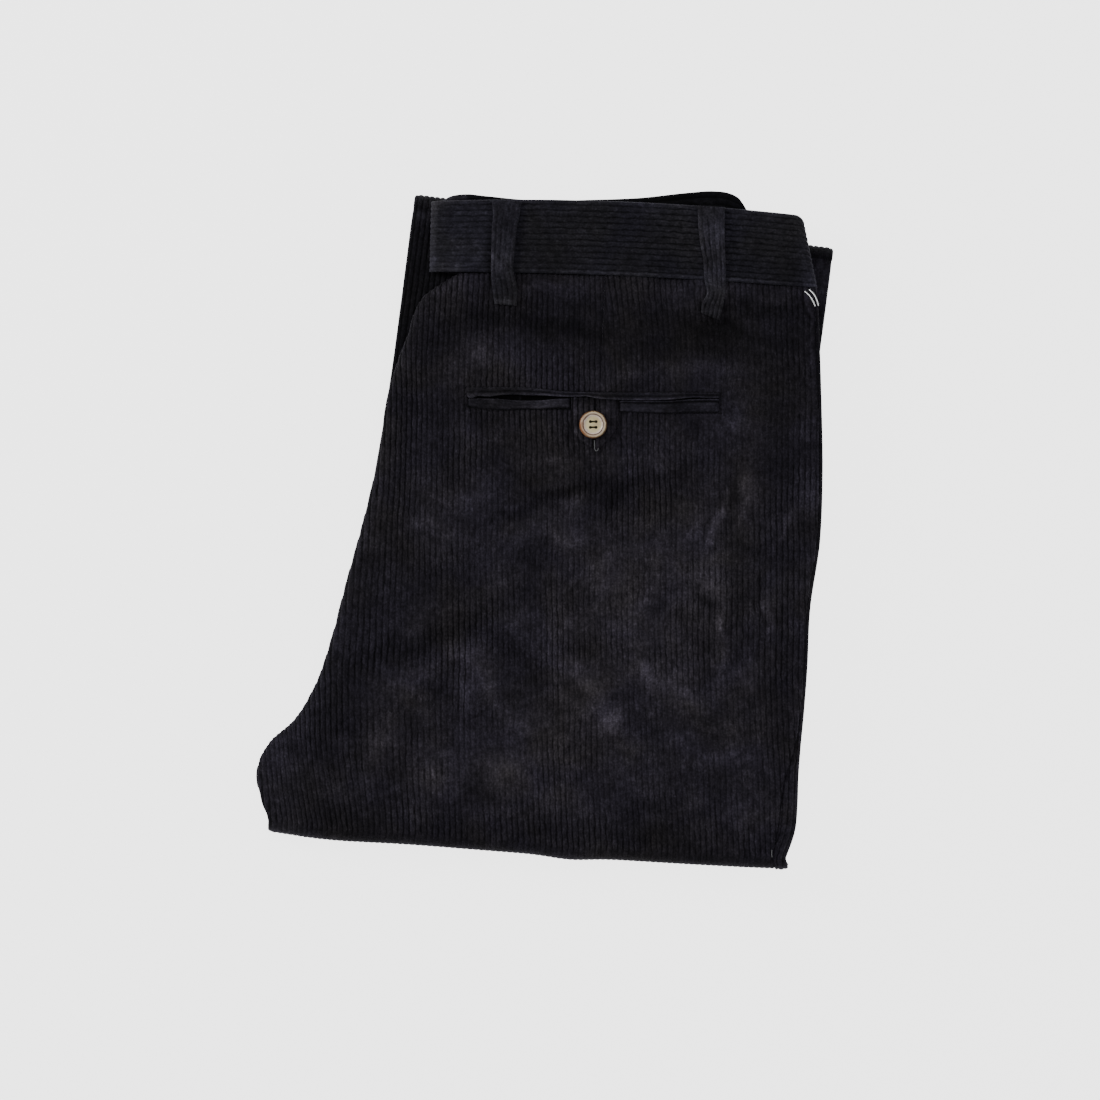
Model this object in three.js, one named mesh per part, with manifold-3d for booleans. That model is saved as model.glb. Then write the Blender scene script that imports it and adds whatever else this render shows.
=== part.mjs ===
// Corduroy trousers, folded flat: leg on leg, then in thirds, with the right back pocket on top.
// Millimetres. +X to the wearer's right side seam, +Y to the waist, +Z up. The stack lies on Z = 0.
//
// How it is folded. The trousers are halved leg on leg with both backs outside, so the stack has four
// plies: right back, right front, left front, left back. The legs turn under at the lower fold, run up
// beneath the seat, turn again at the knee fold and run down to the hems. A height in the stack is
// counted as "h", the distance from the axis of the lower fold, and each ply keeps its h round the fold.

import * as THREE from 'three';
import { mergeVertices } from 'three/addons/utils/BufferGeometryUtils.js';
import Module from 'manifold-3d';

// ---- cloth ----
const WALE_PITCH = 3.08; // eight wales to the inch
const WALE_HEIGHT = 0.45;
const SEAM_GAP = 0.3;

// ---- heights in the stack ----
const LOWER_AXIS_Z = 15.15; // axis of the lower fold, between the seat and the thighs
const KNEE_AXIS_Z = 7.35; // axis of the knee fold, between the thighs and the lower legs
const KNEE_FROM_LOWER = LOWER_AXIS_Z - KNEE_AXIS_Z; // h of the knee fold's axis
const PANEL_FLOOR = 5.4; // h of the inside of the top panel
const PANEL_TOP = 7.15; // h between its wales
const FRONT_LOW = 3.6; // h of the underside of the right front
const FRONT_HIGH = 5.1;
const BAND_FLOOR = 6.35;
const BAND_TOP = 8.85;
const LEG_FLOOR = 5.6; // the left back leg, counted from the knee fold's axis
const LEG_TOP = 7.2;
const LEG_FLAT = KNEE_AXIS_Z; // where it rests flat

// ---- the lean of the legs and the sag of what overhangs the lower legs ----
const LEG_LEAN = 0.153; // x gained for each y along the thighs
const SAG = [ // across the legs: q = x - LEG_LEAN * y, and how far the cloth sags there
  { q: -136, sag: 7.2 }, { q: -128, sag: 6.8 }, { q: -119, sag: 4.6 }, { q: -110, sag: 1.6 },
  { q: -101.5, sag: 0 }, { q: 140, sag: 0 }, { q: 150, sag: 1.2 }, { q: 158, sag: 3.2 },
  { q: 166, sag: 5.4 },
];
const WAIST_SAG = [ // past the knee fold: distance, sag
  { q: 0, sag: 0 }, { q: 12, sag: 1 }, { q: 30, sag: 3.5 },
];

// ---- outlines, one row for each section ----
// Seat and right thigh, from the waist seam to the axis of the lower fold. lx, ly and rx, ry are the
// ends of a section at the seat seam and the side. bow lifts its middle. seam is how far the side
// seam lies in from the side. roll is how far the left edge rolls down.
const SEAT = [
  { lx: -48.5, ly: 144.5, rx: 153, ry: 136, bow: 2.2, seam: 1.8, roll: 3.4 },
  { lx: -66.5, ly: 132.5, rx: 154, ry: 123.5, bow: 1.8, seam: 1.8, roll: 3.4 },
  { lx: -77, ly: 109, rx: 155, ry: 99.5, bow: 1, seam: 1.8, roll: 3.4 },
  { lx: -87.5, ly: 77, rx: 156, ry: 67.5, bow: 0, seam: 1.8, roll: 3.4 },
  { lx: -93, ly: 42, rx: 156.5, ry: 31.5, bow: 0, seam: 1.8, roll: 3.4 },
  { lx: -101.5, ly: 6, rx: 155, ry: -6.5, bow: 0, seam: 1.8, roll: 3.4 },
  { lx: -111.5, ly: -30, rx: 149.5, ry: -44.5, bow: 0, seam: 1.8, roll: 3.4 },
  { lx: -120, ly: -62, rx: 148, ry: -77.5, bow: 0, seam: 1.8, roll: 3.4 },
  { lx: -128.5, ly: -86.5, rx: 146, ry: -103.5, bow: 0, seam: 2, roll: 3.4 },
  { lx: -141, ly: -107, rx: 144, ry: -125, bow: 0, seam: 3.8, roll: 3.4 },
  { lx: -155.5, ly: -120.5, rx: 143, ry: -139.5, bow: -0.5, seam: 7.5, roll: 3.2 },
  { lx: -162, ly: -136.5, rx: 142.5, ry: -155.5, bow: -1, seam: 9.5, roll: 2.8 },
  { lx: -159.5, ly: -150.5, rx: 141, ry: -170, bow: -1.6, seam: 10, roll: 2.3 },
  { lx: -155.5, ly: -162, rx: 137.5, ry: -184, bow: -2, seam: 9, roll: 1.75 },
];
// Thighs, from near the lower fold to the axis of the knee fold. The left leg shows past the seat
// from the third row on, and from there its back is a wall of its own.
const THIGHS = [
  { lx: -125.5, ly: -96, rx: 140, ry: -117 },
  { lx: -101.5, ly: 0.5, rx: 144.5, ry: -24 },
  { lx: -90, ly: 66, rx: 149, ry: 38 },
  { lx: -87.5, ly: 80.5, rx: 150, ry: 52 },
  { lx: -73.5, ly: 182.5, rx: 161.3, ry: 151 },
];
const SHOWS_FROM = 2;
const HEM = { lx: -105, ly: -160.5, rx: 113.5, ry: -186 };
// Waistband, right half: its lower and upper edges.
const BAND_LOW = { lx: -64.5, ly: 145.6, rx: 153.5, ry: 136.4, bow: 2.2 };
const BAND_HIGH = { lx: -63.5, ly: 185, rx: 146, ry: 177, bow: 4 };
const BAND_RIBS = 13;
// Upper edge of the left half of the waistband, which lies below and shows past the right half.
const LOW_BAND_EDGE = [
  { x: -60, y: 184 }, { x: -53, y: 188.5 }, { x: -46, y: 189.5 }, { x: -33.5, y: 188.5 },
  { x: -13.5, y: 186.5 }, { x: 31.5, y: 186.5 }, { x: 54, y: 187.5 }, { x: 81.5, y: 190.5 },
  { x: 95.5, y: 191.4 }, { x: 104, y: 190.3 }, { x: 110, y: 187 }, { x: 115, y: 179 },
];
// Its sections below that edge: how far down, and the h of its outside. The last one is at the foot.
const LOW_BAND_ROWS = [
  { down: 0, top: 1.2 }, { down: 1.54, top: 2.3 }, { down: 3.08, top: 1.95 },
  { down: 4.62, top: 2.3 }, { down: 6.16, top: 1.95 }, { down: 12, top: 1.95 },
  { down: 18, top: 1.95 }, { down: 24, top: 1.95 }, { down: 32, top: 1.95 }, { down: 41, top: 1.95 },
];
const LOW_BAND_FOOT = 148.5;
const LOW_BAND_TILT = 0.0445;
// Soft ridges and troughs of the top panel: middle, length, half width, direction, height.
const FOLDS = [
  { x: 22, y: 24, long: 60, wide: 9, turn: 14, high: -0.6 },
  { x: 88, y: 112, long: 70, wide: 8, turn: -12, high: -0.5 },
  { x: 6, y: 104, long: 70, wide: 10, turn: 0, high: -0.5 },
  { x: 114, y: 22, long: 44, wide: 7, turn: 88, high: 0.9 },
  { x: 98, y: 2, long: 40, wide: 7, turn: 65, high: 0.8 },
  { x: 30, y: -8, long: 46, wide: 12, turn: -40, high: 0.8 },
  { x: 28, y: -95, long: 62, wide: 11, turn: -52, high: 1 },
  { x: 101, y: -60, long: 60, wide: 7, turn: 90, high: 0.8 },
  { x: -36, y: -84, long: 40, wide: 10, turn: 50, high: 0.9 },
  { x: -100, y: -122, long: 36, wide: 8, turn: 85, high: 0.9 },
  { x: 70, y: -162, long: 56, wide: 8, turn: 18, high: 0.7 },
  { x: -10, y: -130, long: 50, wide: 15, turn: 10, high: 0.8 },
];

// ---- pieces on the top panel ----
const LOOPS = [ // each section: ends across, y, and the height of its inside over the panel's floor
  { name: 'belt_loop_back', sections: [
    { l: -27.5, r: -12.5, y: 186.2, h: 9.6 }, { l: -29.5, r: -14.5, y: 176, h: 9.9 },
    { l: -30.5, r: -16, y: 163.5, h: 10.2 }, { l: -30.5, r: -17, y: 150.5, h: 9.9 },
    { l: -30, r: -16, y: 143, h: 9.1 }, { l: -29, r: -15, y: 136, h: 8.3 },
    { l: -27.5, r: -15.5, y: 128, h: 7.95 },
  ] },
  { name: 'belt_loop_side', sections: [
    { l: 86, r: 100, y: 183, h: 9.75 }, { l: 86.5, r: 100.8, y: 174, h: 10.1 },
    { l: 87, r: 101.3, y: 163.5, h: 10.4 }, { l: 88.5, r: 102, y: 150.5, h: 10.1 },
    { l: 90, r: 103, y: 141, h: 9.3 }, { l: 91, r: 101.5, y: 132, h: 8.4 },
    { l: 87, r: 97.5, y: 122, h: 7.95 },
  ] },
];
const LOOP_THICK = 1.5;
const LOOP_WALES = 4;
const WELTS = [
  { name: 'pocket_welt_upper', x0: -44.5, x1: 99, high0: 80, high1: 77.6, low0: 76, low1: 74.4 },
  { name: 'pocket_welt_lower_back', x0: -43, x1: 14.8, high0: 73, high1: 71.8, low0: 67.5, low1: 67.2 },
  { name: 'pocket_welt_lower_side', x0: 42.6, x1: 99, high0: 72, high1: 71.2, low0: 66.6, low1: 66 },
];
const WELT_THICK = 1.1;
const TAB = [
  { l: 15.5, r: 41.8, y: 73 }, { l: 16, r: 39, y: 63 }, { l: 16.5, r: 36.5, y: 55 },
  { l: 17.5, r: 34.6, y: 51.5 }, { l: 21.5, r: 32.8, y: 48.8 }, { l: 25.5, r: 31.2, y: 46.4 },
  { l: 28.8, r: 30, y: 44.8 },
];
const TAB_THICK = 1.5;
const TAB_SLIT_X = 28.3;
const BUTTON = { x: 27.5, y: 59.5, radius: 7.9, height: 3.2, hole: 0.95, spread: 1.6, sides: 24 };

const { sqrt, sin, cos, min, max, PI, hypot } = Math;
const lerp = (a, b, t) => a + (b - a) * t;

// The value of a short table at q, straight between its rows.
function along(table, q, key) {
  if (q <= table[0].q) return table[0][key];
  for (let i = 1; i < table.length; i++) {
    const a = table[i - 1];
    const b = table[i];
    if (q <= b.q) return lerp(a[key], b[key], (q - a.q) / (b.q - a.q));
  }
  return table[table.length - 1][key];
}

// ---- where things lie ----
const knee = THIGHS[THIGHS.length - 1];
const kneeSpan = hypot(knee.rx - knee.lx, knee.ry - knee.ly);
const kneeOut = [(knee.ly - knee.ry) / kneeSpan, (knee.rx - knee.lx) / kneeSpan];
const lower = SEAT[SEAT.length - 1];
const lowerSpan = hypot(lower.rx - lower.lx, lower.ry - lower.ly);
const lowerOut = [(lower.ry - lower.ly) / lowerSpan, (lower.lx - lower.rx) / lowerSpan];

const sideSag = (x, y) => along(SAG, x - LEG_LEAN * y, 'sag');
function waistSag(x, y) {
  return along(WAIST_SAG, (x - knee.lx) * kneeOut[0] + (y - knee.ly) * kneeOut[1], 'sag');
}

// How far the top panel stands above or below its plain height.
function relief(x, y) {
  let sum = 0;
  for (const f of FOLDS) {
    const c = cos(f.turn * PI / 180);
    const s = sin(f.turn * PI / 180);
    const u = ((x - f.x) * c + (y - f.y) * s) / (f.long / 2);
    const v = ((y - f.y) * c - (x - f.x) * s) / f.wide;
    sum += f.high * Math.exp(-u * u - v * v);
  }
  return sum;
}
const onPanel = (x, y) => PANEL_TOP + WALE_HEIGHT + SEAM_GAP + relief(x, y);

// One section across the cloth: a line from its left end to its right end, and how a height above
// that line is laid off. sag is 'seat', 'thigh' or null.
function section(ends, options = {}) {
  const { lx, ly, rx, ry, bow = 0, reach = 1 } = ends;
  const lift = (f) => bow * 4 * f * (1 - f);
  return {
    ...ends, length: hypot(rx - lx, ry - ly), up: [0, 0, 1], base: LOWER_AXIS_Z, sign: 1, from: 0,
    sag: 'seat', rib: 1, top: 0, floor: 0,
    at: (s) => [lerp(lx, rx, s), lerp(ly, ry, s) + lift(s * reach), lerp(ly, ry, s)],
    ...options,
  };
}

// The point of a section at s (0 left, 1 right) and height h.
function place(row, s, h) {
  const [x, y, plainY] = row.at(s);
  const off = row.from + row.sign * h;
  let sag = row.sag ? sideSag(x, plainY) : 0;
  if (row.sag === 'seat') sag += waistSag(x, plainY);
  return [x + row.up[0] * off, y + row.up[1] * off, row.base + row.up[2] * off - sag];
}

// The s at which a section crosses the line x - lean * y = a, kept between low and high.
function crossing(row, a, lean, low = 0, high = 1) {
  const left = row.lx - lean * row.ly;
  const right = row.rx - lean * row.ry;
  return min(high, max(low, (a - left) / (right - left)));
}

// ---- turning sections into solids ----
function solid(triangles) {
  const flat = [];
  for (const t of triangles) {
    const [a, b, c] = t;
    const same = (p, q) => hypot(p[0] - q[0], p[1] - q[1], p[2] - q[2]) < 2e-3;
    if (same(a, b) || same(b, c) || same(c, a)) continue;
    flat.push(...a, ...b, ...c);
  }
  const geometry = new THREE.BufferGeometry();
  geometry.setAttribute('position', new THREE.Float32BufferAttribute(flat, 3));
  const merged = mergeVertices(geometry, 1e-3);
  merged.computeVertexNormals();
  return merged;
}

// A wall between an outer and an inner chain of points, one pair of chains for each section.
// match gives, for each outer point, the inner point that an end face joins it to.
function wall(rows, chains) {
  const made = rows.map((row) => {
    const { outer, inner, match } = chains(row);
    return {
      outer: outer.map(([s, h]) => place(row, s, h)),
      inner: inner.map(([s, h]) => place(row, s, h)), match,
    };
  });
  const out = [];
  const quad = (a, b, c, d) => out.push([a, b, c], [a, c, d]);
  for (let i = 0; i + 1 < made.length; i++) {
    const { outer: o, inner: n } = made[i];
    const { outer: p, inner: m } = made[i + 1];
    for (let j = 0; j + 1 < o.length; j++) quad(o[j], p[j], p[j + 1], o[j + 1]);
    for (let j = 0; j + 1 < n.length; j++) quad(n[j], n[j + 1], m[j + 1], m[j]);
    quad(p[0], o[0], n[0], m[0]);
    quad(o[o.length - 1], p[p.length - 1], m[m.length - 1], n[n.length - 1]);
  }
  endFace(out, made[0], false);
  endFace(out, made[made.length - 1], true);
  return solid(out);
}

function endFace(out, { outer, inner, match }, last) {
  const add = (a, b, c) => out.push(last ? [b, a, c] : [a, b, c]);
  let m = match[0];
  for (let j = 0; j < outer.length; j++) {
    for (; m < match[j]; m++) add(outer[j], inner[m + 1], inner[m]);
    if (j + 1 < outer.length) add(outer[j], outer[j + 1], inner[m]);
  }
}

// A closed profile swept through its sections, with a fan at each end about its groove's height.
function sweep(rows, profile) {
  const rings = rows.map((row) => profile(row).map(([s, h]) => place(row, s, h)));
  const out = [];
  rings.slice(1).forEach((next, i) => {
    const ring = rings[i];
    ring.forEach((a, j) => {
      const k = (j + 1) % ring.length;
      out.push([a, next[j], next[k]], [a, next[k], ring[k]]);
    });
  });
  const fan = (ring, row, last) => {
    const middle = place(row, 0.5, row.a1);
    ring.forEach((a, j) => {
      const b = ring[(j + 1) % ring.length];
      out.push(last ? [b, a, middle] : [a, b, middle]);
    });
  };
  fan(rings[0], rows[0], false);
  fan(rings[rings.length - 1], rows[rows.length - 1], true);
  return solid(out);
}

const ROLL_STEPS = 3;

// The chains of a panel: rolled edges, wales on the outside, plain inside. lines is the list of
// { a, lift } for the outside, innerLines the list of a for the inside. A line may hold s in place of a.
function panelChains(row, lines, lean, innerLines, innerLean) {
  const { length, left, right } = row;
  const topAt = (s) => (typeof row.top === 'function' ? row.top(...row.at(s)) : row.top);
  const floorAt = (s) => (typeof row.floor === 'function' ? row.floor(...row.at(s)) : row.floor);
  const low = left.w / length;
  const high = 1 - right.w / length;
  const outer = [];
  const inner = [];
  const roll = (edge, side) => {
    const outside = [];
    const inside = [];
    for (let i = 0; i < ROLL_STEPS; i++) {
      const f = (i / ROLL_STEPS) * PI / 2;
      const s = (edge.w * (1 - cos(f))) / length;
      const at = side < 0 ? s : 1 - s;
      const top = topAt(side < 0 ? low : high);
      const floor = floorAt(at);
      const thick = top - floor;
      const over = max(0, edge.d - thick);
      outside.push([at, top - edge.d * (1 - sin(f))]);
      const si = (edge.w - (edge.w - over) * cos(f)) / length;
      inside.push([side < 0 ? si : 1 - si, floor - over * (1 - sin(f))]);
    }
    return { outside, inside };
  };
  const a = roll(left, -1);
  const b = roll(right, 1);
  outer.push(...a.outside, [low, topAt(low)]);
  for (const line of lines) {
    const s = line.s ?? crossing(row, line.a, lean, low, high);
    const inside = s > low && s < high;
    outer.push([s, topAt(s) + (inside ? line.lift * row.rib : 0)]);
  }
  outer.push([high, topAt(high)], ...b.outside.reverse());
  inner.push(...a.inside, [low, floorAt(low)]);
  for (const line of innerLines) {
    const s = line.s ?? crossing(row, line, innerLean, low, high);
    inner.push([s, floorAt(s)]);
  }
  inner.push([high, floorAt(high)], ...b.inside.reverse());
  const match = [];
  let m = 0;
  for (let j = 0; j < outer.length; j++) {
    while (m + 1 < inner.length && inner[m + 1][0] <= outer[j][0] + 1e-9) m++;
    match.push(j === outer.length - 1 ? inner.length - 1 : m);
  }
  match[0] = 0;
  return { outer, inner, match };
}

// Lines across a cloth at each side and crest of its wales, from a0 to a1.
function waleLines(a0, a1, lift = WALE_HEIGHT) {
  const lines = [];
  for (let a = a0; a <= a1; a += WALE_PITCH) {
    lines.push({ a, lift: 0 }, { a: a + WALE_PITCH * 0.5, lift });
  }
  return lines;
}

// The sections of a fold: the same line turned about its axis by each angle.
function turned(ends, outward, angles, options) {
  return angles.map((angle) => {
    const t = angle * PI / 180;
    return section(ends, { up: [outward[0] * sin(t), outward[1] * sin(t), cos(t)], ...options(angle) });
  });
}

// ---- the top panel: right back ----
const SAG_LINES = SAG.map((row) => row.q);
const LAYER_LINES = [...SAG_LINES.slice(0, 5), -45, 25, 90, ...SAG_LINES.slice(5)];
const edge = { w: 5, d: 3.4 };
const seamEdge = { w: 1.2, d: 0.8 };

// A row's own ends, with the right end moved to the side seam.
function toSeam(row) {
  const share = row.seam / hypot(row.rx - row.lx, row.ry - row.ly);
  const reach = 1 - share; // how much of the whole section is left
  return { ...row, rx: lerp(row.rx, row.lx, share), ry: lerp(row.ry, row.ly, share), reach };
}
function shifted(ends, dx, dy) {
  return { ...ends, lx: ends.lx + dx, ly: ends.ly + dy, rx: ends.rx + dx, ry: ends.ry + dy };
}

// The waistband's line at a share of its height.
function bandEnds(share) {
  const ends = {};
  for (const key of ['lx', 'ly', 'rx', 'ry', 'bow']) {
    ends[key] = lerp(BAND_LOW[key], BAND_HIGH[key], share);
  }
  return ends;
}
const inwardBy = (ends, d) => shifted(ends, -lowerOut[0] * d, -lowerOut[1] * d);
const FOLD_STEPS = [45, 90, 135, 180];
const TUCK = 9; // how far the top panel runs in under the lower fold

function backRight() {
  const panel = (x, y) => PANEL_TOP + relief(x, y);
  const rows = SEAT.map((row) => section(toSeam(row), {
    top: panel, floor: PANEL_FLOOR, left: { w: edge.w, d: row.roll }, right: seamEdge,
  }));
  const under = {
    top: PANEL_TOP, floor: PANEL_FLOOR, left: { w: 3, d: PANEL_TOP - PANEL_FLOOR }, right: seamEdge,
  };
  const bend = turned(toSeam(lower), lowerOut, FOLD_STEPS, () => under);
  const tuck = section(inwardBy(toSeam(lower), TUCK), { ...under, up: [0, 0, -1], rib: 0.4 });
  const lines = waleLines(-162, 156);
  return wall([...rows, ...bend, tuck], (row) => panelChains(row, lines, 0, LAYER_LINES, LEG_LEAN));
}

// ---- right front: the strip round the side ----
const STRIP = 9;

function frontRight() {
  const panel = (x, y) => PANEL_TOP + relief(x, y);
  const rows = SEAT.map((row, i) => section(i ? row : shifted(row, 0, -0.6), { top: panel }));
  const bend = turned(lower, lowerOut, FOLD_STEPS, () => ({ top: () => PANEL_TOP }));
  const tuck = section(inwardBy(lower, TUCK), { top: () => PANEL_TOP, up: [0, 0, -1] });
  const round = (PANEL_TOP - FRONT_LOW) / 2;
  const middle = FRONT_LOW + round;
  return wall([...rows, ...bend, tuck], (row) => {
    const at = (d) => 1 - d / row.length; // d is the distance in from the side
    const lip = row.seam - SEAM_GAP;
    const top = row.top(...row.at(1)) - PANEL_TOP;
    const height = (d) => middle + (round + top) * sqrt(max(0, 1 - (1 - min(1, d / 3)) ** 2));
    const outer = [[at(STRIP), FRONT_LOW]];
    for (const d of [3, 1.5, 0.4]) {
      outer.push([at(d), middle - round * sqrt(1 - (1 - d / 3) ** 2)]);
    }
    for (const d of [0, 0.4, 1.5]) outer.push([at(min(d, lip)), height(min(d, lip))]);
    const wales = waleLines(3, 8).map(({ a, lift }) => ({ d: min(a, max(lip - 1, 1.5)), lift }));
    for (const { d, lift } of wales) outer.push([at(d), height(d) + (d < lip - 1 ? lift : 0)]);
    outer.push([at(lip), height(lip) - seamEdge.d]);
    const notch = min(2.4, lip);
    const inner = [
      [at(STRIP), FRONT_HIGH], [at(notch), FRONT_HIGH], [at(notch), PANEL_FLOOR],
      [at(lip), PANEL_FLOOR],
    ];
    // Both chains run from the seam over the side to the underside, as a panel's run left to right.
    const match = outer.map((_, j) => (j === 0 ? 3 : j < 4 ? 2 : 1)).reverse();
    match[0] = 0;
    return { outer: outer.reverse(), inner: inner.reverse(), match };
  });
}

// ---- left back leg: the thigh below the seat, the knee fold and the lower leg ----
function backLeft() {
  const lines = waleLines(-128, 166);
  const atKnee = section(knee);
  const still = lines.map(({ a, lift }) => ({ s: crossing(atKnee, a, LEG_LEAN), lift }));
  const stillInner = SAG_LINES.map((q) => ({ s: crossing(atKnee, q, LEG_LEAN) }));
  const common = { base: KNEE_AXIS_Z, floor: LEG_FLOOR, sag: null };
  const flat = { ...common, up: [0, 0, -1], top: LEG_FLAT, rib: 0, still: true };
  const edges = { left: { w: 2, d: LEG_TOP - LEG_FLOOR }, right: { w: 2, d: LEG_TOP - LEG_FLOOR } };
  const flatEdges = { left: { w: 2, d: 1.4 }, right: { w: 2, d: 1.4 } };
  const bend = turned(knee, kneeOut, [180, 135, 90, 45, 0], (angle) => ({
    ...common, ...(angle === 180 ? flatEdges : edges), still: true,
    top: angle === 180 ? LEG_FLAT : LEG_TOP, rib: angle === 180 ? 0 : 1,
  }));
  const thigh = THIGHS.slice(SHOWS_FROM, -1).reverse().map((ends) => section(ends, {
    ...common, ...edges, sag: 'thigh', top: LEG_TOP,
  }));
  const rows = [section(HEM, { ...flat, ...flatEdges }), ...bend, ...thigh];
  return wall(rows, (row) => (row.still
    ? panelChains(row, still.map((l) => keepIn(row, l)), 0, stillInner.map((l) => keepIn(row, l)), 0)
    : panelChains(row, lines, LEG_LEAN, SAG_LINES, LEG_LEAN)));
}

// A line fixed at s, kept between the rolled edges of a row.
function keepIn(row, line) {
  const low = row.left.w / row.length;
  const high = 1 - row.right.w / row.length;
  return { ...line, s: min(high, max(low, line.s)) };
}

// ---- hidden layers: everything between, as one rounded solid with a groove between the legs ----
// a0 and a1 are the h of the left leg's plies, a1 and b1 of the right leg's. al, ar, bl and br are how
// far their edges lie in from the outline.
const LAYERS = {
  band: { a0: 2.8, a1: 4.2, b1: 5.75, al: 6, ar: 3.5, bl: 6, br: 6 },
  seat: { a0: 0.15, a1: 3.3, b1: 5.1, al: 0.4, ar: 1.6, bl: edge.w + 0.4, br: STRIP + 0.4 },
  fold: { a0: 0.15, a1: 3.3, b1: 5.1, al: 1, ar: 1.6, bl: 3.4, br: STRIP + 0.4 },
  thigh: { a0: 0.15, a1: 4.2, b1: KNEE_FROM_LOWER - 0.15, al: 0.6, ar: 0.6, bl: 0, br: 0.2 },
  leg: { a0: 2.5, a1: 4.2, b1: KNEE_FROM_LOWER - 0.15, al: 0.6, ar: 0.6, bl: 0, br: 0.2 },
};
const BAND_SHARES = [1, 0.75, 0.5, 0.25, 0]; // of the waistband's height, where it has a section
const BAND_INSET = 1.3;
const HEM_INSET = 1.6;

function layerProfile(row) {
  const { a0, a1, b1, al, ar, bl, br, length } = row;
  const ra = (a1 - a0) / 2;
  const rb = (b1 - a1) / 2;
  const left = (d) => d / length;
  const right = (d) => 1 - d / length;
  const slack = 0.3;
  const run = (d0, d1, h) => LAYER_LINES.map((q) => [
    crossing(row, q, LEG_LEAN, left(d0), right(d1)), h,
  ]);
  const bulge = (side, d, h, r, sign) => [
    [side(d + r * slack), h + sign * r * (1 - slack)], [side(d), h],
    [side(d + r * slack), h - sign * r * (1 - slack)],
  ];
  return [
    [left(bl + rb), b1], ...run(bl + rb, br + rb, b1), [right(br + rb), b1],
    ...bulge(right, br, a1 + rb, rb, 1), [right(max(ar + ra, br + rb)), a1],
    ...bulge(right, ar, a0 + ra, ra, 1), [right(ar + ra), a0],
    ...run(al + ra, ar + ra, a0).reverse(), [left(al + ra), a0],
    ...bulge(left, al, a0 + ra, ra, -1), [left(max(al + ra, bl + rb)), a1],
    ...bulge(left, bl, a1 + rb, rb, -1),
  ];
}

function foldedLayers() {
  const { band: bandLayers, seat: seatLayers, fold: foldLayers, thigh, leg } = LAYERS;
  const band = BAND_SHARES.map((share) => (
    section(shifted(bandEnds(share), 0, 0.1 - BAND_INSET * share), bandLayers)));
  const seat = SEAT.map((row, i) => section(i ? row : shifted(row, 0, -0.2), seatLayers));
  const bend = turned(lower, lowerOut, FOLD_STEPS, () => foldLayers);
  const below = (layers) => (ends) => (
    section(ends, { ...layers, up: [0, 0, -1], sag: 'thigh' }));
  const past = below(foldLayers)(inwardBy(lower, TUCK + 2 * SEAM_GAP));
  const step = shifted(THIGHS[SHOWS_FROM], 0, -2 * SEAM_GAP);
  const deep = [inwardBy(lower, TUCK + 6 * SEAM_GAP), ...THIGHS.slice(0, SHOWS_FROM), step];
  const shallow = [shifted(step, 0, SEAM_GAP), ...THIGHS.slice(SHOWS_FROM + 1)];
  const lowerLeg = {
    ...leg, base: KNEE_AXIS_Z, sign: -1, from: KNEE_FROM_LOWER, sag: null,
  };
  const kneeBend = turned(knee, kneeOut, FOLD_STEPS, () => lowerLeg);
  const hem = section(shifted(HEM, 0, HEM_INSET), { ...lowerLeg, up: [0, 0, -1] });
  const rows = [
    ...band, ...seat, ...bend, past, ...deep.map(below(thigh)), ...shallow.map(below(leg)),
    ...kneeBend, hem,
  ];
  return sweep(rows, layerProfile);
}

// ---- waistband ----
function waistbandRight() {
  const rows = [];
  const steps = BAND_RIBS * 2;
  for (let i = 0; i <= steps; i++) {
    const t = 1 - i / steps;
    const corner = i === 0 ? 4 : i === 1 ? 1.5 : 0;
    const rounded = i === 0 || i === steps ? 0.8 : 0;
    const ends = bandEnds(t);
    const cut = { ...ends, lx: ends.lx + corner * 0.4, rx: ends.rx - corner };
    rows.push(section(cut, {
      floor: BAND_FLOOR, top: BAND_TOP - rounded + (i % 2 ? WALE_HEIGHT : 0),
      left: { w: 5, d: 6.2 - rounded }, right: { w: 5, d: 4.4 - rounded },
    }));
  }
  const lines = [-40, -15, 10, 35, 60, 85, 110, 130].map((a) => ({ a, lift: 0 }));
  return wall(rows, (row) => panelChains(row, lines, 0, [-15, 35, 85, 130], 0));
}

function waistbandLeft() {
  const edgeRow = LOW_BAND_EDGE.map(({ x, y }) => ({ q: x, y }));
  const x0 = LOW_BAND_EDGE[0].x;
  const x1 = LOW_BAND_EDGE[LOW_BAND_EDGE.length - 1].x;
  const rows = LOW_BAND_ROWS.map(({ down, top }, i) => {
    const last = i === LOW_BAND_ROWS.length - 1;
    const yAt = (x) => (last ? LOW_BAND_FOOT - LOW_BAND_TILT * (x - BAND_LOW.lx)
      : along(edgeRow, x, 'y') - down);
    return section({ lx: x0, ly: yAt(x0), rx: x1, ry: yAt(x1) }, {
      at: (s) => [lerp(x0, x1, s), yAt(lerp(x0, x1, s)), yAt(lerp(x0, x1, s))],
      floor: 0.15, top, left: { w: 1.5, d: 1 }, right: { w: 1.5, d: 1 },
    });
  });
  const lines = LOW_BAND_EDGE.slice(1, -1).map(({ x }) => ({ s: (x - x0) / (x1 - x0), lift: 0 }));
  return wall(rows, (row) => panelChains(row, lines, 0, lines, 0));
}

// ---- belt loops, welts, tab and button ----
function beltLoop(sections) {
  const rows = sections.map(({ l, r, y, h }) => section({ lx: l, ly: y, rx: r, ry: y - 0.4 }, {
    floor: h, top: h + LOOP_THICK, left: { w: 0.8, d: 0.8 }, right: { w: 0.8, d: 0.8 },
  }));
  const lines = [];
  for (let i = 1; i < LOOP_WALES * 2; i++) {
    lines.push({ s: i / (LOOP_WALES * 2), lift: i % 2 ? WALE_HEIGHT : 0 });
  }
  return wall(rows, (row) => panelChains(row, lines, 0, [{ s: 0.5 }], 0));
}

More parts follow.
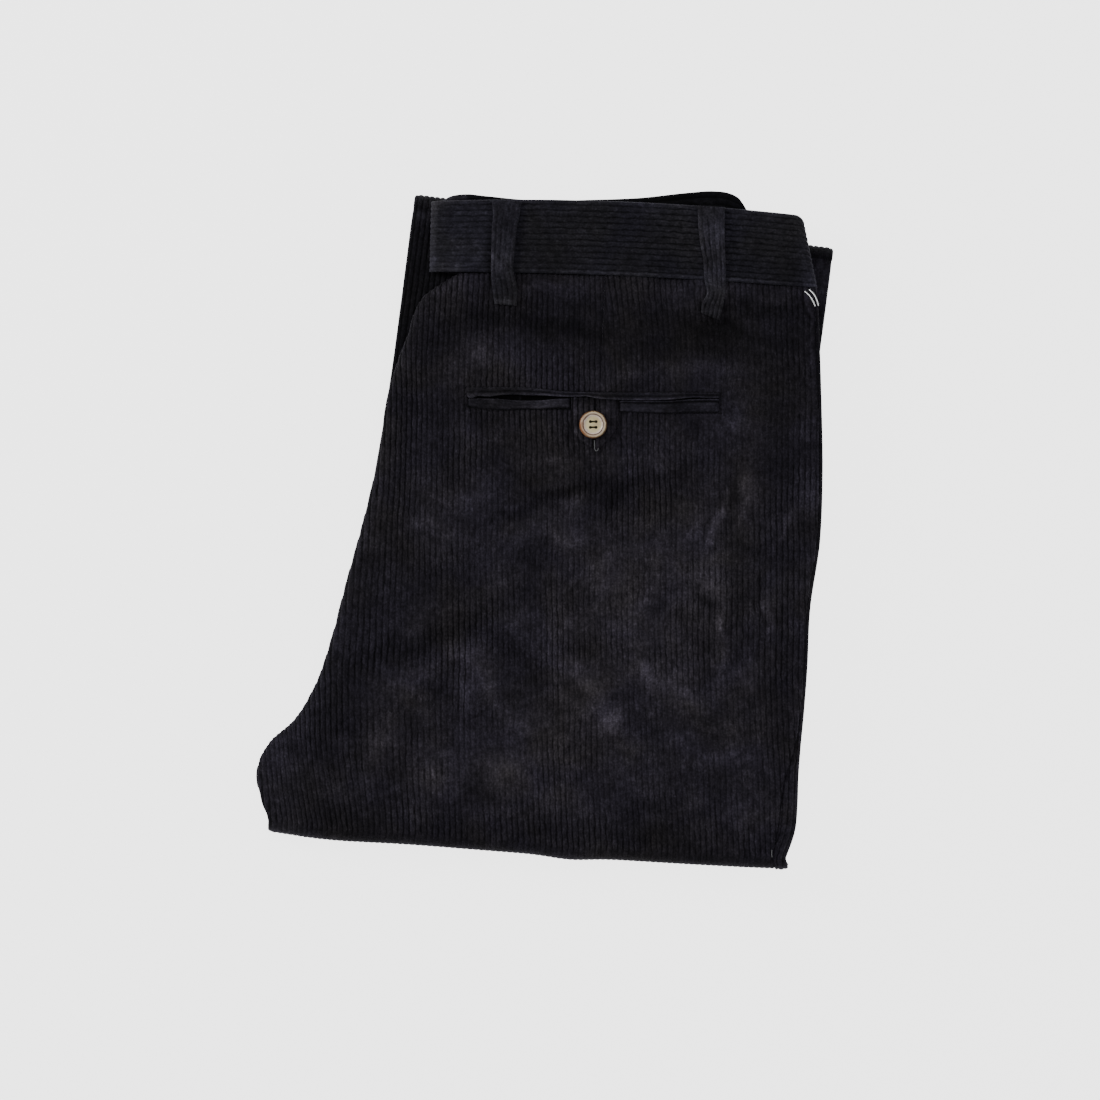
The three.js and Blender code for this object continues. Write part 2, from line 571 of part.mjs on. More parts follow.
function welt({ x0, x1, high0, high1, low0, low1 }) {
  const rows = [0, 0.2, 0.8, 1].map((t) => section(
    { lx: x0, ly: lerp(high0, low0, t), rx: x1, ry: lerp(high1, low1, t) }, {
      floor: (x, y) => onPanel(x, y), top: (x, y) => onPanel(x, y) + (t % 1 ? WELT_THICK : 0.5),
      left: { w: 0.6, d: 0.5 }, right: { w: 0.6, d: 0.5 },
    }));
  const steps = Math.round((x1 - x0) / 12);
  const lines = [];
  for (let i = 1; i < steps; i++) lines.push({ s: i / steps, lift: 0 });
  return wall(rows, (row) => panelChains(row, lines, 0, lines, 0));
}

function pocketTab() {
  const rows = TAB.map(({ l, r, y }, i) => section({ lx: l, ly: y, rx: r, ry: y - 0.2 }, {
    floor: (x, yy) => onPanel(x, yy),
    top: (x, yy) => onPanel(x, yy) + (i === TAB.length - 1 ? 0.7 : TAB_THICK),
    left: { w: 0.5, d: 0.4 }, right: { w: 0.5, d: 0.4 },
  }));
  const lines = [];
  for (let a = TAB_SLIT_X - 4 * WALE_PITCH; a < TAB_SLIT_X + 5 * WALE_PITCH; a += WALE_PITCH) {
    const slit = Math.abs(a - TAB_SLIT_X) < 0.1;
    lines.push({ a, lift: slit ? -0.8 : 0 }, { a: a + WALE_PITCH / 2, lift: WALE_HEIGHT });
  }
  return wall(rows, (row) => panelChains(row, lines, 0, [], 0));
}

async function pocketButton() {
  const { x, y, radius: r, height, hole, spread, sides } = BUTTON;
  const outline = [
    [0, 0], [r * 0.78, 0], [r * 0.95, height * 0.25], [r, height * 0.55], [r * 0.95, height * 0.88],
    [r * 0.83, height], [r * 0.71, height * 0.86], [r * 0.6, height * 0.66], [0, height * 0.6],
  ];
  const disc = new THREE.LatheGeometry(outline.map(([a, b]) => new THREE.Vector2(a, b)), sides);
  disc.rotateX(PI / 2);
  const wasm = await Module();
  wasm.setup();
  const manifold = (geometry) => {
    for (const name of ['normal', 'uv']) geometry.deleteAttribute(name);
    const g = mergeVertices(geometry, 1e-4);
    return new wasm.Manifold(new wasm.Mesh({
      numProp: 3, vertProperties: new Float32Array(g.attributes.position.array),
      triVerts: new Uint32Array(g.index.array),
    }));
  };
  let body = manifold(disc);
  for (const [sx, sy] of [[1, 1], [1, -1], [-1, 1], [-1, -1]]) {
    const drill = new THREE.CylinderGeometry(hole, hole, height * 4, 8);
    drill.rotateX(PI / 2);
    drill.translate(sx * spread, sy * spread, 0);
    body = body.subtract(manifold(drill));
  }
  const mesh = body.getMesh();
  const geometry = new THREE.BufferGeometry();
  geometry.setAttribute('position', new THREE.BufferAttribute(mesh.vertProperties, 3));
  geometry.setIndex(new THREE.BufferAttribute(mesh.triVerts, 1));
  geometry.computeVertexNormals();
  const rest = LOWER_AXIS_Z + onPanel(x, y) + TAB_THICK + WALE_HEIGHT + SEAM_GAP;
  geometry.translate(x, y, rest + 0.25);
  return geometry;
}

// ---- the garment ----
const corduroy = new THREE.MeshStandardMaterial({ color: 0x1e1c21, roughness: 0.95, metalness: 0 });
const horn = new THREE.MeshStandardMaterial({ color: 0xb3a184, roughness: 0.35, metalness: 0 });

const garment = new THREE.Group();
function add(name, geometry, material = corduroy) {
  const mesh = new THREE.Mesh(geometry, material);
  mesh.name = name;
  garment.add(mesh);
}

add('folded_layers', foldedLayers());
add('back_left', backLeft());
add('back_right', backRight());
add('front_right', frontRight());
add('waistband_left', waistbandLeft());
add('waistband_right', waistbandRight());
for (const { name, sections } of LOOPS) add(name, beltLoop(sections));
for (const row of WELTS) add(row.name, welt(row));
add('pocket_tab', pocketTab());
add('pocket_button', await pocketButton(), horn);

export default garment;
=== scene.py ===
# %% [markdown]
# # Folded corduroy trousers
#
# A lesson in cloth that is made with no simulation. The trousers are folded leg on leg,
# turned up once at the seat and once more at the knee, and lie flat with the right back on top.
# The imported model gives the frame. Each visible piece of cloth is then laid again as a thin wall,
# fine enough to carry its wales, and it takes the place of the plain solid.

# %% Load the frame
import math

import bmesh
import bpy
import numpy as np
from mathutils import Matrix, Vector


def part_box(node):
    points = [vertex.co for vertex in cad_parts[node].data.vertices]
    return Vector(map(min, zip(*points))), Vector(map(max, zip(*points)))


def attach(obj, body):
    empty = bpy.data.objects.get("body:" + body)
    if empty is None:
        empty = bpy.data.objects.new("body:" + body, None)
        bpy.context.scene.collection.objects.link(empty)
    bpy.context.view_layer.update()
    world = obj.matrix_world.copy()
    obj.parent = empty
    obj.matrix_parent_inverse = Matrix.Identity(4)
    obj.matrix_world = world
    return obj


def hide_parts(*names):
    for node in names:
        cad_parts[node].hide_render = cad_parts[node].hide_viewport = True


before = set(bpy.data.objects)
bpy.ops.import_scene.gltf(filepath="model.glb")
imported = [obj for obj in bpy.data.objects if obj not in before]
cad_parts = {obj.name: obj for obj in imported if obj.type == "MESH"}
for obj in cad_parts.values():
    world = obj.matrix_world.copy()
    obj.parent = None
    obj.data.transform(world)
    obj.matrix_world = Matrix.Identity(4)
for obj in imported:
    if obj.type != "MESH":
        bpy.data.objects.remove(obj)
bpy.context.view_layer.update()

MM = 0.001
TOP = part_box("back_right")[1][2]
print("nodes:", len(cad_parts), "top of the seat, mm:", round(TOP / MM, 1))

# %% [markdown]
# ## Camera
#
# The garment is seen from straight above. A long lens from well up keeps the edges nearly
# parallel. The aim lies a little to one side, because the garment isn't in the middle of the frame.

# %% Camera
LENS = 200.0  # millimetres
SENSOR = 36.0
VIEW_WIDTH = 0.6185  # metres that the frame takes in at the height of the cloth
AIM = (0.0032, -0.011)


def add_object(name, data):
    """A new object with this data, in the scene."""
    added = bpy.data.objects.new(name, data)
    bpy.context.scene.collection.objects.link(added)
    return added


def add_camera():
    data = bpy.data.cameras.new("camera")
    data.lens = LENS
    data.sensor_width = SENSOR
    camera = add_object("camera", data)
    camera.location = (*AIM, TOP + VIEW_WIDTH * LENS / SENSOR)
    bpy.context.scene.camera = camera
    return camera


camera = add_camera()
print("camera height, m:", round(camera.location.z, 3))

# %% [markdown]
# ## Floor and light
#
# Black cloth shows its form only by its sheen, so the light matters more than on a pale thing. One
# wide soft light above gives the plain tone. A lower one from the left rakes across the wales, so
# that each has a lighter and a darker side. The floor glows a little, which thins the shadow.

# %% Floor
FLOOR_SIZE = 6.0
FLOOR_COLOR = (0.79, 0.79, 0.79, 1.0)
FLOOR_GLOW = 3.9
FLOOR_DROP = 0.0002  # it lies this much lower than the cloth's lowest crests


def new_material(name, looks):
    """A material and its shader, with the shader's inputs set by their names."""
    material = bpy.data.materials.new(name)
    material.use_nodes = True
    shader = material.node_tree.nodes["Principled BSDF"]
    for label, value in looks.items():
        shader.inputs[label].default_value = value
    return material, shader


def add_floor():
    mesh = bpy.data.meshes.new("floor")
    half = FLOOR_SIZE / 2
    mesh.from_pydata([(-half, -half, 0), (half, -half, 0), (half, half, 0), (-half, half, 0)],
                     [], [(0, 1, 2, 3)])
    floor = add_object("floor", mesh)
    floor.location.z = -FLOOR_DROP
    material, _ = new_material("pale floor", {
        "Base Color": (0.3, 0.3, 0.3, 1.0), "Roughness": 1.0, "Specular IOR Level": 0.0,
        "Emission Color": FLOOR_COLOR, "Emission Strength": FLOOR_GLOW})
    mesh.materials.append(material)


add_floor()
print("floor, metres across:", FLOOR_SIZE)

# %% Light
DAYLIGHT = 0.45
LIGHTS = {  # place, size in metres, power in watts
    "overhead": ((0.2, 0.5, 2.4), 2.0, 30.0),
    "raking": ((-1.6, 0.7, 0.9), 0.7, 26.0),
}


def add_light(name, place, size, power):
    data = bpy.data.lights.new(name, "AREA")
    data.shape = "DISK"
    data.size = size
    data.energy = power
    light = add_object(name, data)
    light.location = place
    light.rotation_euler = (-Vector(place)).to_track_quat("-Z", "Y").to_euler()
    return light


def set_world(strength):
    world = bpy.data.worlds.new("studio")
    world.use_nodes = True
    sky = world.node_tree.nodes["Background"]
    sky.inputs["Color"].default_value = (1, 1, 1, 1)
    sky.inputs["Strength"].default_value = strength
    bpy.context.scene.world = world


set_world(DAYLIGHT)
lights = [add_light(name, *looks) for name, looks in LIGHTS.items()]
print("lights:", [light.name for light in lights])

# %% [markdown]
# ## The stack
#
# Height in a folded stack is easiest to count from the axis of the fold: call it h. A ply keeps its
# h when it goes round, and only the direction of "up" turns. Two folds carry the whole garment, so
# two axes and a few values of h place every ply. All lengths are in millimetres until a mesh is
# made.

# %% Stack
PITCH = 3.08  # from one wale to the next, eight to the inch
WALE_HEIGHT = 0.5
SEAT_AXIS_Z = 15.15
KNEE_AXIS_Z = 7.35
PANEL_H = 7.15  # outside of the right back, between its wales
PANEL_THICK = 1.7
LEG_TOP_H = 7.1  # outside of the left back, from the knee fold's axis
LEG_THICK = 1.5
LEG_LEAN = 0.153  # the legs lean by this much in x for each y


def table_of(names, *rows):
    """A table whose rows are dicts, from the names of its columns and rows of plain numbers."""
    return [dict(zip(names.split(), row)) for row in rows]


SIDE_SAG = {  # across the legs: x - LEG_LEAN * y, and how far what overhangs them sags
    "q": [-136, -128, -119, -110, -101.5, 140, 150, 158, 166],
    "sag": [7.2, 6.8, 4.6, 1.6, 0, 0, 1.2, 3.2, 5.4],
}
WAIST_SAG = {"q": [0, 12, 30], "sag": [0, 1, 3.5]}  # past the knee fold

# A section is one line across the cloth, from its left end (lx, ly) to its right end (rx, ry). bow
# is how far its middle lies higher, seam how far in the side seam is, roll how far its left end
# rolls down.
SEAT = table_of(  # from the waist seam to the axis of the lower fold
    "lx ly rx ry bow seam roll",
    (-48.5, 144.5, 153.0, 136.0, 2.2, 1.8, 3.4), (-66.5, 132.5, 154.0, 123.5, 1.8, 1.8, 3.4),
    (-77.0, 109.0, 155.0, 99.5, 1.0, 1.8, 3.4), (-87.5, 77.0, 156.0, 67.5, 0.0, 1.8, 3.4),
    (-93.0, 42.0, 156.5, 31.5, 0.0, 1.8, 3.4), (-101.5, 6.0, 155.0, -6.5, 0.0, 1.8, 3.4),
    (-111.5, -30.0, 149.5, -44.5, 0.0, 1.8, 3.4), (-120.0, -62.0, 148.0, -77.5, 0.0, 1.8, 3.4),
    (-128.5, -86.5, 146.0, -103.5, 0.0, 2.0, 3.4), (-141.0, -107.0, 144.0, -125.0, 0.0, 3.8, 3.4),
    (-155.5, -120.5, 143.0, -139.5, -0.5, 7.5, 3.2),
    (-162.0, -136.5, 142.5, -155.5, -1.0, 9.5, 2.8),
    (-159.5, -150.5, 141.0, -170.0, -1.6, 10.0, 2.3),
    (-155.5, -162.0, 136.0, -184.0, -2.0, 7.5, 1.75),
)
THIGHS = table_of(
    "lx ly rx ry",
    (-125.5, -96.0, 140.0, -117.0), (-101.5, 0.5, 144.5, -24.0), (-90.0, 66.0, 149.0, 38.0),
    (-87.5, 80.5, 150.0, 52.0), (-73.5, 182.5, 162.0, 152.2),
)
HEM = dict(lx=-105.0, ly=-160.5, rx=113.5, ry=-186.0)
KNEE = THIGHS[-1]
LOWER = SEAT[-1]
print("rows of the seat:", len(SEAT), "of the thighs:", len(THIGHS))

# %% Folds
def heading(section):
    """A section's length and direction."""
    dx, dy = section["rx"] - section["lx"], section["ry"] - section["ly"]
    length = np.hypot(dx, dy)
    return length, dx / length, dy / length


def outward(section, side):
    """The direction square to a fold's axis, away from the garment."""
    _, ex, ey = heading(section)
    return (-ey * side, ex * side)


NUB = 1.8  # how far the lower fold's right end swells
KNEE_OUT = outward(KNEE, 1)
LOWER_OUT = outward(LOWER, -1)


def belly(x):
    """How far the lower fold hangs past its straight line: a full left corner and a soft bulge."""
    return 1.7 * np.exp(-((x + 122) / 34) ** 2) + 1.6 * np.exp(-((x - 15) / 15) ** 2)


def sag_at(x, y, with_waist):
    side = np.interp(x - LEG_LEAN * y, SIDE_SAG["q"], SIDE_SAG["sag"])
    past = (x - KNEE["lx"]) * KNEE_OUT[0] + (y - KNEE["ly"]) * KNEE_OUT[1]
    return side + with_waist * np.interp(past, WAIST_SAG["q"], WAIST_SAG["sag"])


print("outward at the knee fold:", [round(float(part), 3) for part in KNEE_OUT])

# %% [markdown]
# ## Creases, rubbed nap, and painted light and shade
#
# Folded trousers are never quite flat. Each row below is one soft ridge or trough on the seat,
# with its own length, width and direction. The next tables hold the pale places, where the pile
# is rubbed the other way or a painted highlight lies along a crease's ridge, the dark places,
# where the pile looks dark or painted shade lies in a crease's trough, and the places where the
# pile is crushed flat. A texture can't know where that is, so they are listed one by one.

# %% Creases and nap
TONE_STRENGTH = 1.2
# Each spot: x, y, length, width, its turn in degrees, and how high or how strong it is.
CREASES = [
    (22, 21, 64, 6, 17, -1.3), (41, 13, 10, 3.5, 80, -0.7), (14, 31, 40, 7, 8, 0.8),
    (98, 114, 66, 6, -12, -1.2), (100, 104, 60, 5, -14, 0.7), (76, 106, 44, 6, 22, -0.6),
    (6, 113, 74, 7, -4, -1.0), (114, 22, 46, 6, 88, 1.1), (107, 20, 40, 4, 86, -0.7),
    (98, 2, 44, 6, 64, 1.0), (88, -6, 36, 5, 66, -0.6), (30, -8, 50, 12, -30, 0.9),
    (28, -100, 66, 10, -50, 1.2), (44, -88, 50, 6, -48, -0.7), (72, -85, 30, 4, -36, 0.9),
    (101, -58, 60, 5, 89, 1.0), (106, -56, 52, 3, 89, -0.8), (-36, -84, 40, 8, 58, 1.0),
    (-45, -78, 36, 6, 55, -0.7), (-98, -124, 40, 6, 84, 1.2), (-110, -126, 34, 6, 70, -0.9),
    (-128, -140, 40, 7, 35, 0.7), (66, -163, 60, 6, 20, 0.9), (60, -172, 60, 5, 18, -0.6),
    (-10, -130, 56, 14, 10, 0.9), (-66, -102, 22, 5, 85, 0.7), (-70, -60, 80, 12, 8, -0.6),
    (-60, -4, 70, 14, 65, 0.6), (54, -46, 36, 8, 40, 0.8), (-4, -50, 34, 6, -40, 0.7),
    (128, -20, 60, 6, 75, -0.6), (118, -100, 56, 7, -62, 0.7),
]
# Pale places: partly rubbed nap, partly painted highlights along the ridges of creases.
PALE_NAP_AND_HIGHLIGHTS = [
    (4, 38, 24, 6, 8, 0.6), (10, 27, 16, 4, 5, 0.5), (54, 40, 26, 4, -12, 0.5),
    (56, 33, 30, 3, 6, 0.4), (114, 23, 34, 4, 82, 0.75), (119, 10, 30, 3, 88, 0.5),
    (97, 5, 34, 3, 64, 0.6), (103, -8, 26, 3, 58, 0.5), (136, 2, 36, 1.4, 58, 0.8),
    (113, 21, 18, 2.5, 84, 0.5), (94, 1, 30, 1.3, 66, 0.65), (101, -62, 34, 1.3, 92, 0.8),
    (127, -58, 50, 1.2, 91, 0.6), (22, -2, 64, 15, -62, 0.55), (-48, 4, 80, 18, 40, 0.35),
    (68, -14, 40, 11, 70, 0.5), (40, -26, 36, 7, 62, 0.5), (86, -34, 30, 6, 20, 0.45),
    (54, -47, 24, 10, 60, 1.0), (22, -49, 24, 5, 35, 0.6), (-4, -51, 30, 5, -38, 0.7),
    (-12, -60, 34, 5, -48, 0.5), (-33, -84, 30, 4, -66, 0.9), (-41, -72, 22, 4, -28, 0.6),
    (-42, -92, 30, 9, 30, 0.5), (-67, -106, 14, 4, 85, 1.0), (-96, -126, 26, 5, 84, 1.3),
    (-88, -116, 20, 4, 76, 0.6), (-111, -118, 14, 3, 14, 0.7), (-143, -130, 18, 8, 20, 0.6),
    (-122, -146, 30, 9, -14, 0.35), (26, -92, 40, 9, -50, 1.1), (42, -112, 32, 6, -54, 0.7),
    (58, -78, 26, 3, -58, 0.8), (74, -90, 30, 3, -30, 0.7), (99, -56, 44, 3, 88, 0.7),
    (110, -82, 26, 4, -35, 0.5), (118, -76, 40, 5, 80, 0.4), (70, -160, 50, 3.5, 20, 0.6),
    (52, -150, 44, 5, 12, 0.4), (-14, -118, 52, 15, 24, 0.8), (-30, -136, 46, 9, -20, 0.6),
    (8, -140, 30, 7, 60, 0.5), (80, -118, 50, 12, 70, 0.5), (114, -146, 40, 10, 70, 0.6),
    (-62, -142, 40, 9, -6, 0.4), (-70, -80, 30, 6, 40, 0.4), (-36, 98, 44, 9, 5, 0.7),
    (85, 93, 40, 5, -6, 0.6), (109, 58, 26, 8, 60, 1.0), (60, -12, 34, 9, -60, 0.6),
    (125, -42, 40, 3, 86, 0.5), (151.2, 122, 26, 0.8, -67, 1.6), (150.4, 100, 28, 0.8, 88, 0.9),
    (-36, 58, 40, 9, 10, 0.4), (-76, 30, 50, 9, 75, 0.3), (60, 90, 50, 7, -4, 0.35),
    (-6, 138, 60, 4, -3, 0.6), (100, 131, 50, 4, -3, 0.5), (-20, -78, 36, 11, 0, 0.45),
    (32, -86, 36, 10, 0, 0.5), (22, -54, 26, 7, 0, 0.35), (-70, -50, 50, 10, 0, 0.35),
    (10, -4, 74, 9, 0, 0.4), (74, 31, 24, 9, 0, 0.4), (108, -121, 40, 12, 80, 0.5),
    (108, 118, 26, 8, 0, 0.4), (90, 66, 30, 8, 0, 0.35), (60, -106, 30, 8, 0, 0.4),
]
# Dark places: partly nap that looks dark, partly painted shade in the troughs of creases and beside
# their ridges.
DARK = [
    (14, 22, 40, 4.5, 12, 1.3), (38, 15, 14, 5, 75, 1.1), (45, 24, 24, 3.5, 20, 0.8),
    (104, 112, 70, 5, -14, 1.5), (112, 99, 44, 3.5, -16, 0.8), (120, 124, 44, 5, -6, 1.3),
    (64, 104, 60, 8, 16, 0.6), (10, 113, 52, 5, -8, 1.4), (-34, 121, 36, 4, 14, 0.7),
    (-20, 118, 60, 6, 4, 0.5), (149.2, 121, 24, 0.9, -67, 1.4), (50, 114, 230, 20, -2, 0.45),
    (-66, 108, 60, 9, 72, 0.5), (-55, 70, 60, 10, 80, 0.45), (-68, -62, 84, 7, 20, 1.2),
    (-8, -80, 34, 9, 20, 0.7), (-125, -160, 60, 10, -5, 0.7), (-20, -66, 36, 6, -30, 0.7),
    (-114, -90, 64, 10, 55, 0.9), (-76, -116, 34, 5, 76, 0.5), (-106, -136, 24, 5, 70, 0.6),
    (20, -68, 50, 6, -30, 0.6), (3, -98, 40, 6, -55, 0.5), (58, -112, 40, 6, -52, 0.6),
    (91, 0, 40, 3, 66, 0.7), (107, 16, 40, 3, 84, 0.7), (110, -50, 50, 4, 86, 0.6),
    (92, -66, 40, 4, 80, 0.5), (132, 40, 160, 13, 88, 0.75), (90, -38, 18, 1.6, -42, 1.3),
    (75, 33, 30, 3, 18, 0.8), (121, -44, 72, 2.2, 92, 0.8), (104, 12, 26, 1.6, 68, 0.7),
    (96, -128, 120, 34, 80, 0.3), (96, 121, 30, 3, -30, 0.8), (-15, 128, 50, 4, 3, 0.4),
    (134, -80, 150, 10, 87, 0.6), (-20, -172, 360, 11, -4.3, 0.75), (-100, -30, 190, 10, 74, 0.45),
    (25, 66, 190, 7, -1, 0.5), (20, 50, 60, 8, 0, 0.5), (-30, 40, 60, 10, 4, 0.3),
    (70, 14, 40, 8, 80, 0.4), (10, 70, 280, 80, 0, 0.35), (91, 101, 36, 11, 0, 0.6),
    (-138, -141, 40, 12, 10, 0.8), (-100, -113, 34, 14, 20, 0.75), (-62, -72, 24, 9, 0, 0.6),
    (-2, 30, 44, 8, 0, 0.7), (-80, 42, 80, 9, 86, 0.5), (8, 84, 40, 8, 0, 0.4),
    (132, 82, 40, 12, 0, 0.45), (-30, -38, 28, 8, 0, 0.6), (57, -37, 26, 8, 0, 0.5),
    (62, -156, 56, 12, 5, 0.85), (76, -138, 26, 9, 0, 0.5), (8, -122, 30, 9, 0, 0.5),
    (104, 20, 30, 12, 80, 0.4), (58, 118, 30, 9, 0, 0.5), (88, -74, 50, 9, 90, 0.4),
    (-120, -118, 30, 10, 40, 0.4), (42, -168, 30, 8, 0, 0.4), (14.6, 60, 32, 0.9, 90, 1.6),
    (42.4, 60, 28, 0.8, 90, 1.2),
]
CRUSHED = [  # where the pile lies flat, so that the wales show less
    (112, 66, 150, 26, 88, 0.5), (96, 10, 60, 16, 70, 0.4), (92, -122, 120, 44, 80, 0.42),
    (30, -110, 90, 40, 70, 0.25), (50, 112, 150, 17, 0, 0.6), (88, 64, 70, 16, 0, 0.35),
    (4, 36, 60, 16, 4, 0.45), (42, -22, 60, 22, 40, 0.35),
]
print("creases:", len(CREASES), "rubbed and dark places:", len(PALE_NAP_AND_HIGHLIGHTS) + len(DARK))

# %% Relief and tone of the seat
def sum_of_spots(x, y, spots):
    """Adds up long soft spots: full in the middle, nothing past their ends and sides."""
    total = np.zeros(np.broadcast(x, y).shape)
    for at_x, at_y, long, wide, turn, much in spots:
        c, s = math.cos(math.radians(turn)), math.sin(math.radians(turn))
        along = ((x - at_x) * c + (y - at_y) * s) / (long / 2)
        beside = ((y - at_y) * c - (x - at_x) * s) / wide
        total += much * np.exp(-along ** 2 - beside ** 2)
    return total


def waves(x, y):
    """Slow unevenness that runs over the whole cloth."""
    return (0.16 * np.sin(x / 17 + 1.3 * np.sin(y / 31)) * np.cos(y / 23 + 0.8)
            + 0.12 * np.sin(x / 9 - y / 41 + 2.1) + 0.1 * np.sin(y / 13 + x / 37))


def ripples(x, y, count=16, seed=21):
    """Fine unevenness of a pressed and folded cloth, as a sum of slanting waves."""
    rng = np.random.default_rng(seed)
    total = np.zeros(np.broadcast(x, y).shape)
    for _ in range(count):
        angle, phase, length = rng.uniform(0, math.pi), rng.uniform(0, 6.3), rng.uniform(11, 55)
        run = x * math.cos(angle) + y * math.sin(angle)
        bend = 0.8 * np.sin((x * math.sin(angle) - y * math.cos(angle)) / length + phase)
        total += 0.0045 * length * np.sin(2 * math.pi * run / length + phase + bend)
    return total


def seat_relief(x, y):
    return sum_of_spots(x, y, CREASES) + waves(x, y) + ripples(x, y)


def frayed(x, y):
    """Pushes places about a little, so that no spot keeps a smooth outline."""
    to_side = 1.2 * np.sin(y / 4.1 + 1.9 * np.sin(x / 7.3)) + 0.5 * np.sin(y / 2.3 + x / 2.7)
    to_end = 1.5 * np.sin(x / 4.7 + 1.5 * np.sin(y / 8.1)) + 0.6 * np.sin(x / 2.4 - y / 4.3)
    return x + to_side, y + to_end


# Nap tone, with the painted highlights and painted shade of the creases.
def seat_tone(x, y):
    fx, fy = frayed(x, y)
    return TONE_STRENGTH * (sum_of_spots(fx, fy, PALE_NAP_AND_HIGHLIGHTS) - sum_of_spots(fx, fy, DARK))


print("relief at the middle, mm:", round(float(seat_relief(np.zeros(1), np.zeros(1))[0]), 2))

# %% [markdown]
# ## Laying cloth
#
# A piece of cloth is a run of sections, each a straight line across it. The table gives a few, and
# a smooth curve fills in the rest. Along a section, t is the distance over the cloth. At either
# end the cloth rolls down, and t goes round that bend too, so wales keep their pitch there.

# %% Runs of sections
# What a section has where its table doesn't say. h is its height from the fold's axis, base is that
# axis, and up is the direction of h. lw and ld are the width and depth of its left bend, rw and rd
# of its right one. waist, belly and sags say how much of each sag it takes.
PLAIN = dict(bow=0.0, seam=0.0, roll=0.0, upx=0.0, upy=0.0, upz=1.0, base=SEAT_AXIS_Z, waist=1.0,
             belly=0.0, sags=1.0, start=0.0, sign=1.0, h=PANEL_H, lw=0.0, ld=0.0, rw=0.0, rd=0.0)


def curve(knots, values, at):
    """A smooth line through the values, with slopes taken from their neighbours."""
    if len(knots) == 2:
        return np.interp(at, knots, values)
    slopes = np.gradient(values, knots)
    i = np.clip(np.searchsorted(knots, at) - 1, 0, len(knots) - 2)
    step = knots[i + 1] - knots[i]
    f = (at - knots[i]) / step
    return ((2 * f ** 3 - 3 * f ** 2 + 1) * values[i] + (f ** 3 - 2 * f ** 2 + f) * step * slopes[i]
            + (3 * f ** 2 - 2 * f ** 3) * values[i + 1] + (f ** 3 - f ** 2) * step * slopes[i + 1])


def plain_rows(count, **values):
    """Plain sections, apart from the values given."""
    return {key: value + np.zeros(count) for key, value in {**PLAIN, **values}.items()}


def sections(table, step, extra=(), **same):
    """The rows of a table, filled in every step millimetres. extra adds places of its own."""
    data = {key: np.array([{**PLAIN, **row}[key] for row in table]) for key in table[0]}
    across = np.diff(data["lx"] + data["rx"]) / 2
    down = np.diff(data["ly"] + data["ry"]) / 2
    knots = np.concatenate([[0.0], np.cumsum(np.hypot(across, down))])
    at = np.linspace(0, knots[-1], max(2, int(round(knots[-1] / step)) + 1))
    at = np.unique(np.concatenate([at, np.array(extra, float)]))
    rows = {key: curve(knots, value, at) for key, value in data.items()}
    return plain_rows(len(at), **{**rows, **same})


def one_row(row, **same):
    """A single section, as a run of one."""
    return plain_rows(1, **{**row, **same})


print("sections of the seat at 20 mm:", len(sections(SEAT, 20)["lx"]))

# %% Folding and moving sections
BELLY_FROM = -118.0  # where the seat starts to bulge towards the lower fold
BELLY_REACH = 40.0


def fold(row, out, angles, **same):
    """One section turned about its own line by each angle, in degrees."""
    runs = []
    for angle in angles:
        c, s = math.cos(math.radians(angle)), math.sin(math.radians(angle))
        runs.append(one_row(row, upx=out[0] * s, upy=out[1] * s, upz=c, **same))
    return join(*runs)


def down_seat(step, extra=(), table=SEAT):
    """The sections of the seat, which bulge more and more towards the lower fold."""
    rows = sections(table, step, extra)
    rows["belly"] = np.clip((BELLY_FROM - rows["ly"]) / BELLY_REACH, 0.0, 1.0)
    return rows


def round_lower_fold(row, **same):
    """The sections round the lower fold. Its right end swells into a small soft nub."""
    angles = np.arange(15, 181, 15)
    rows = fold(row, LOWER_OUT, angles, belly=1.0, **same)
    rows["rx"] = rows["rx"] + NUB * np.sin(np.radians(angles)) ** 2
    return rows


def join(*runs):
    return {key: np.concatenate([run[key] for run in runs]) for key in runs[0]}


def moved(row, way, far):
    """A section moved far millimetres the given way."""
    dx, dy = way[0] * far, way[1] * far
    return {**row, "lx": row["lx"] + dx, "ly": row["ly"] + dy,
            "rx": row["rx"] + dx, "ry": row["ry"] + dy}


print("sections round the lower fold:", len(round_lower_fold(LOWER)["lx"]))

# %% Laying cloth over sections
def bend_length(w, d):
    """Near enough the length of a quarter of an ellipse."""
    return np.maximum(1e-6, math.pi / 2 * np.sqrt((w * w + d * d) / 2))


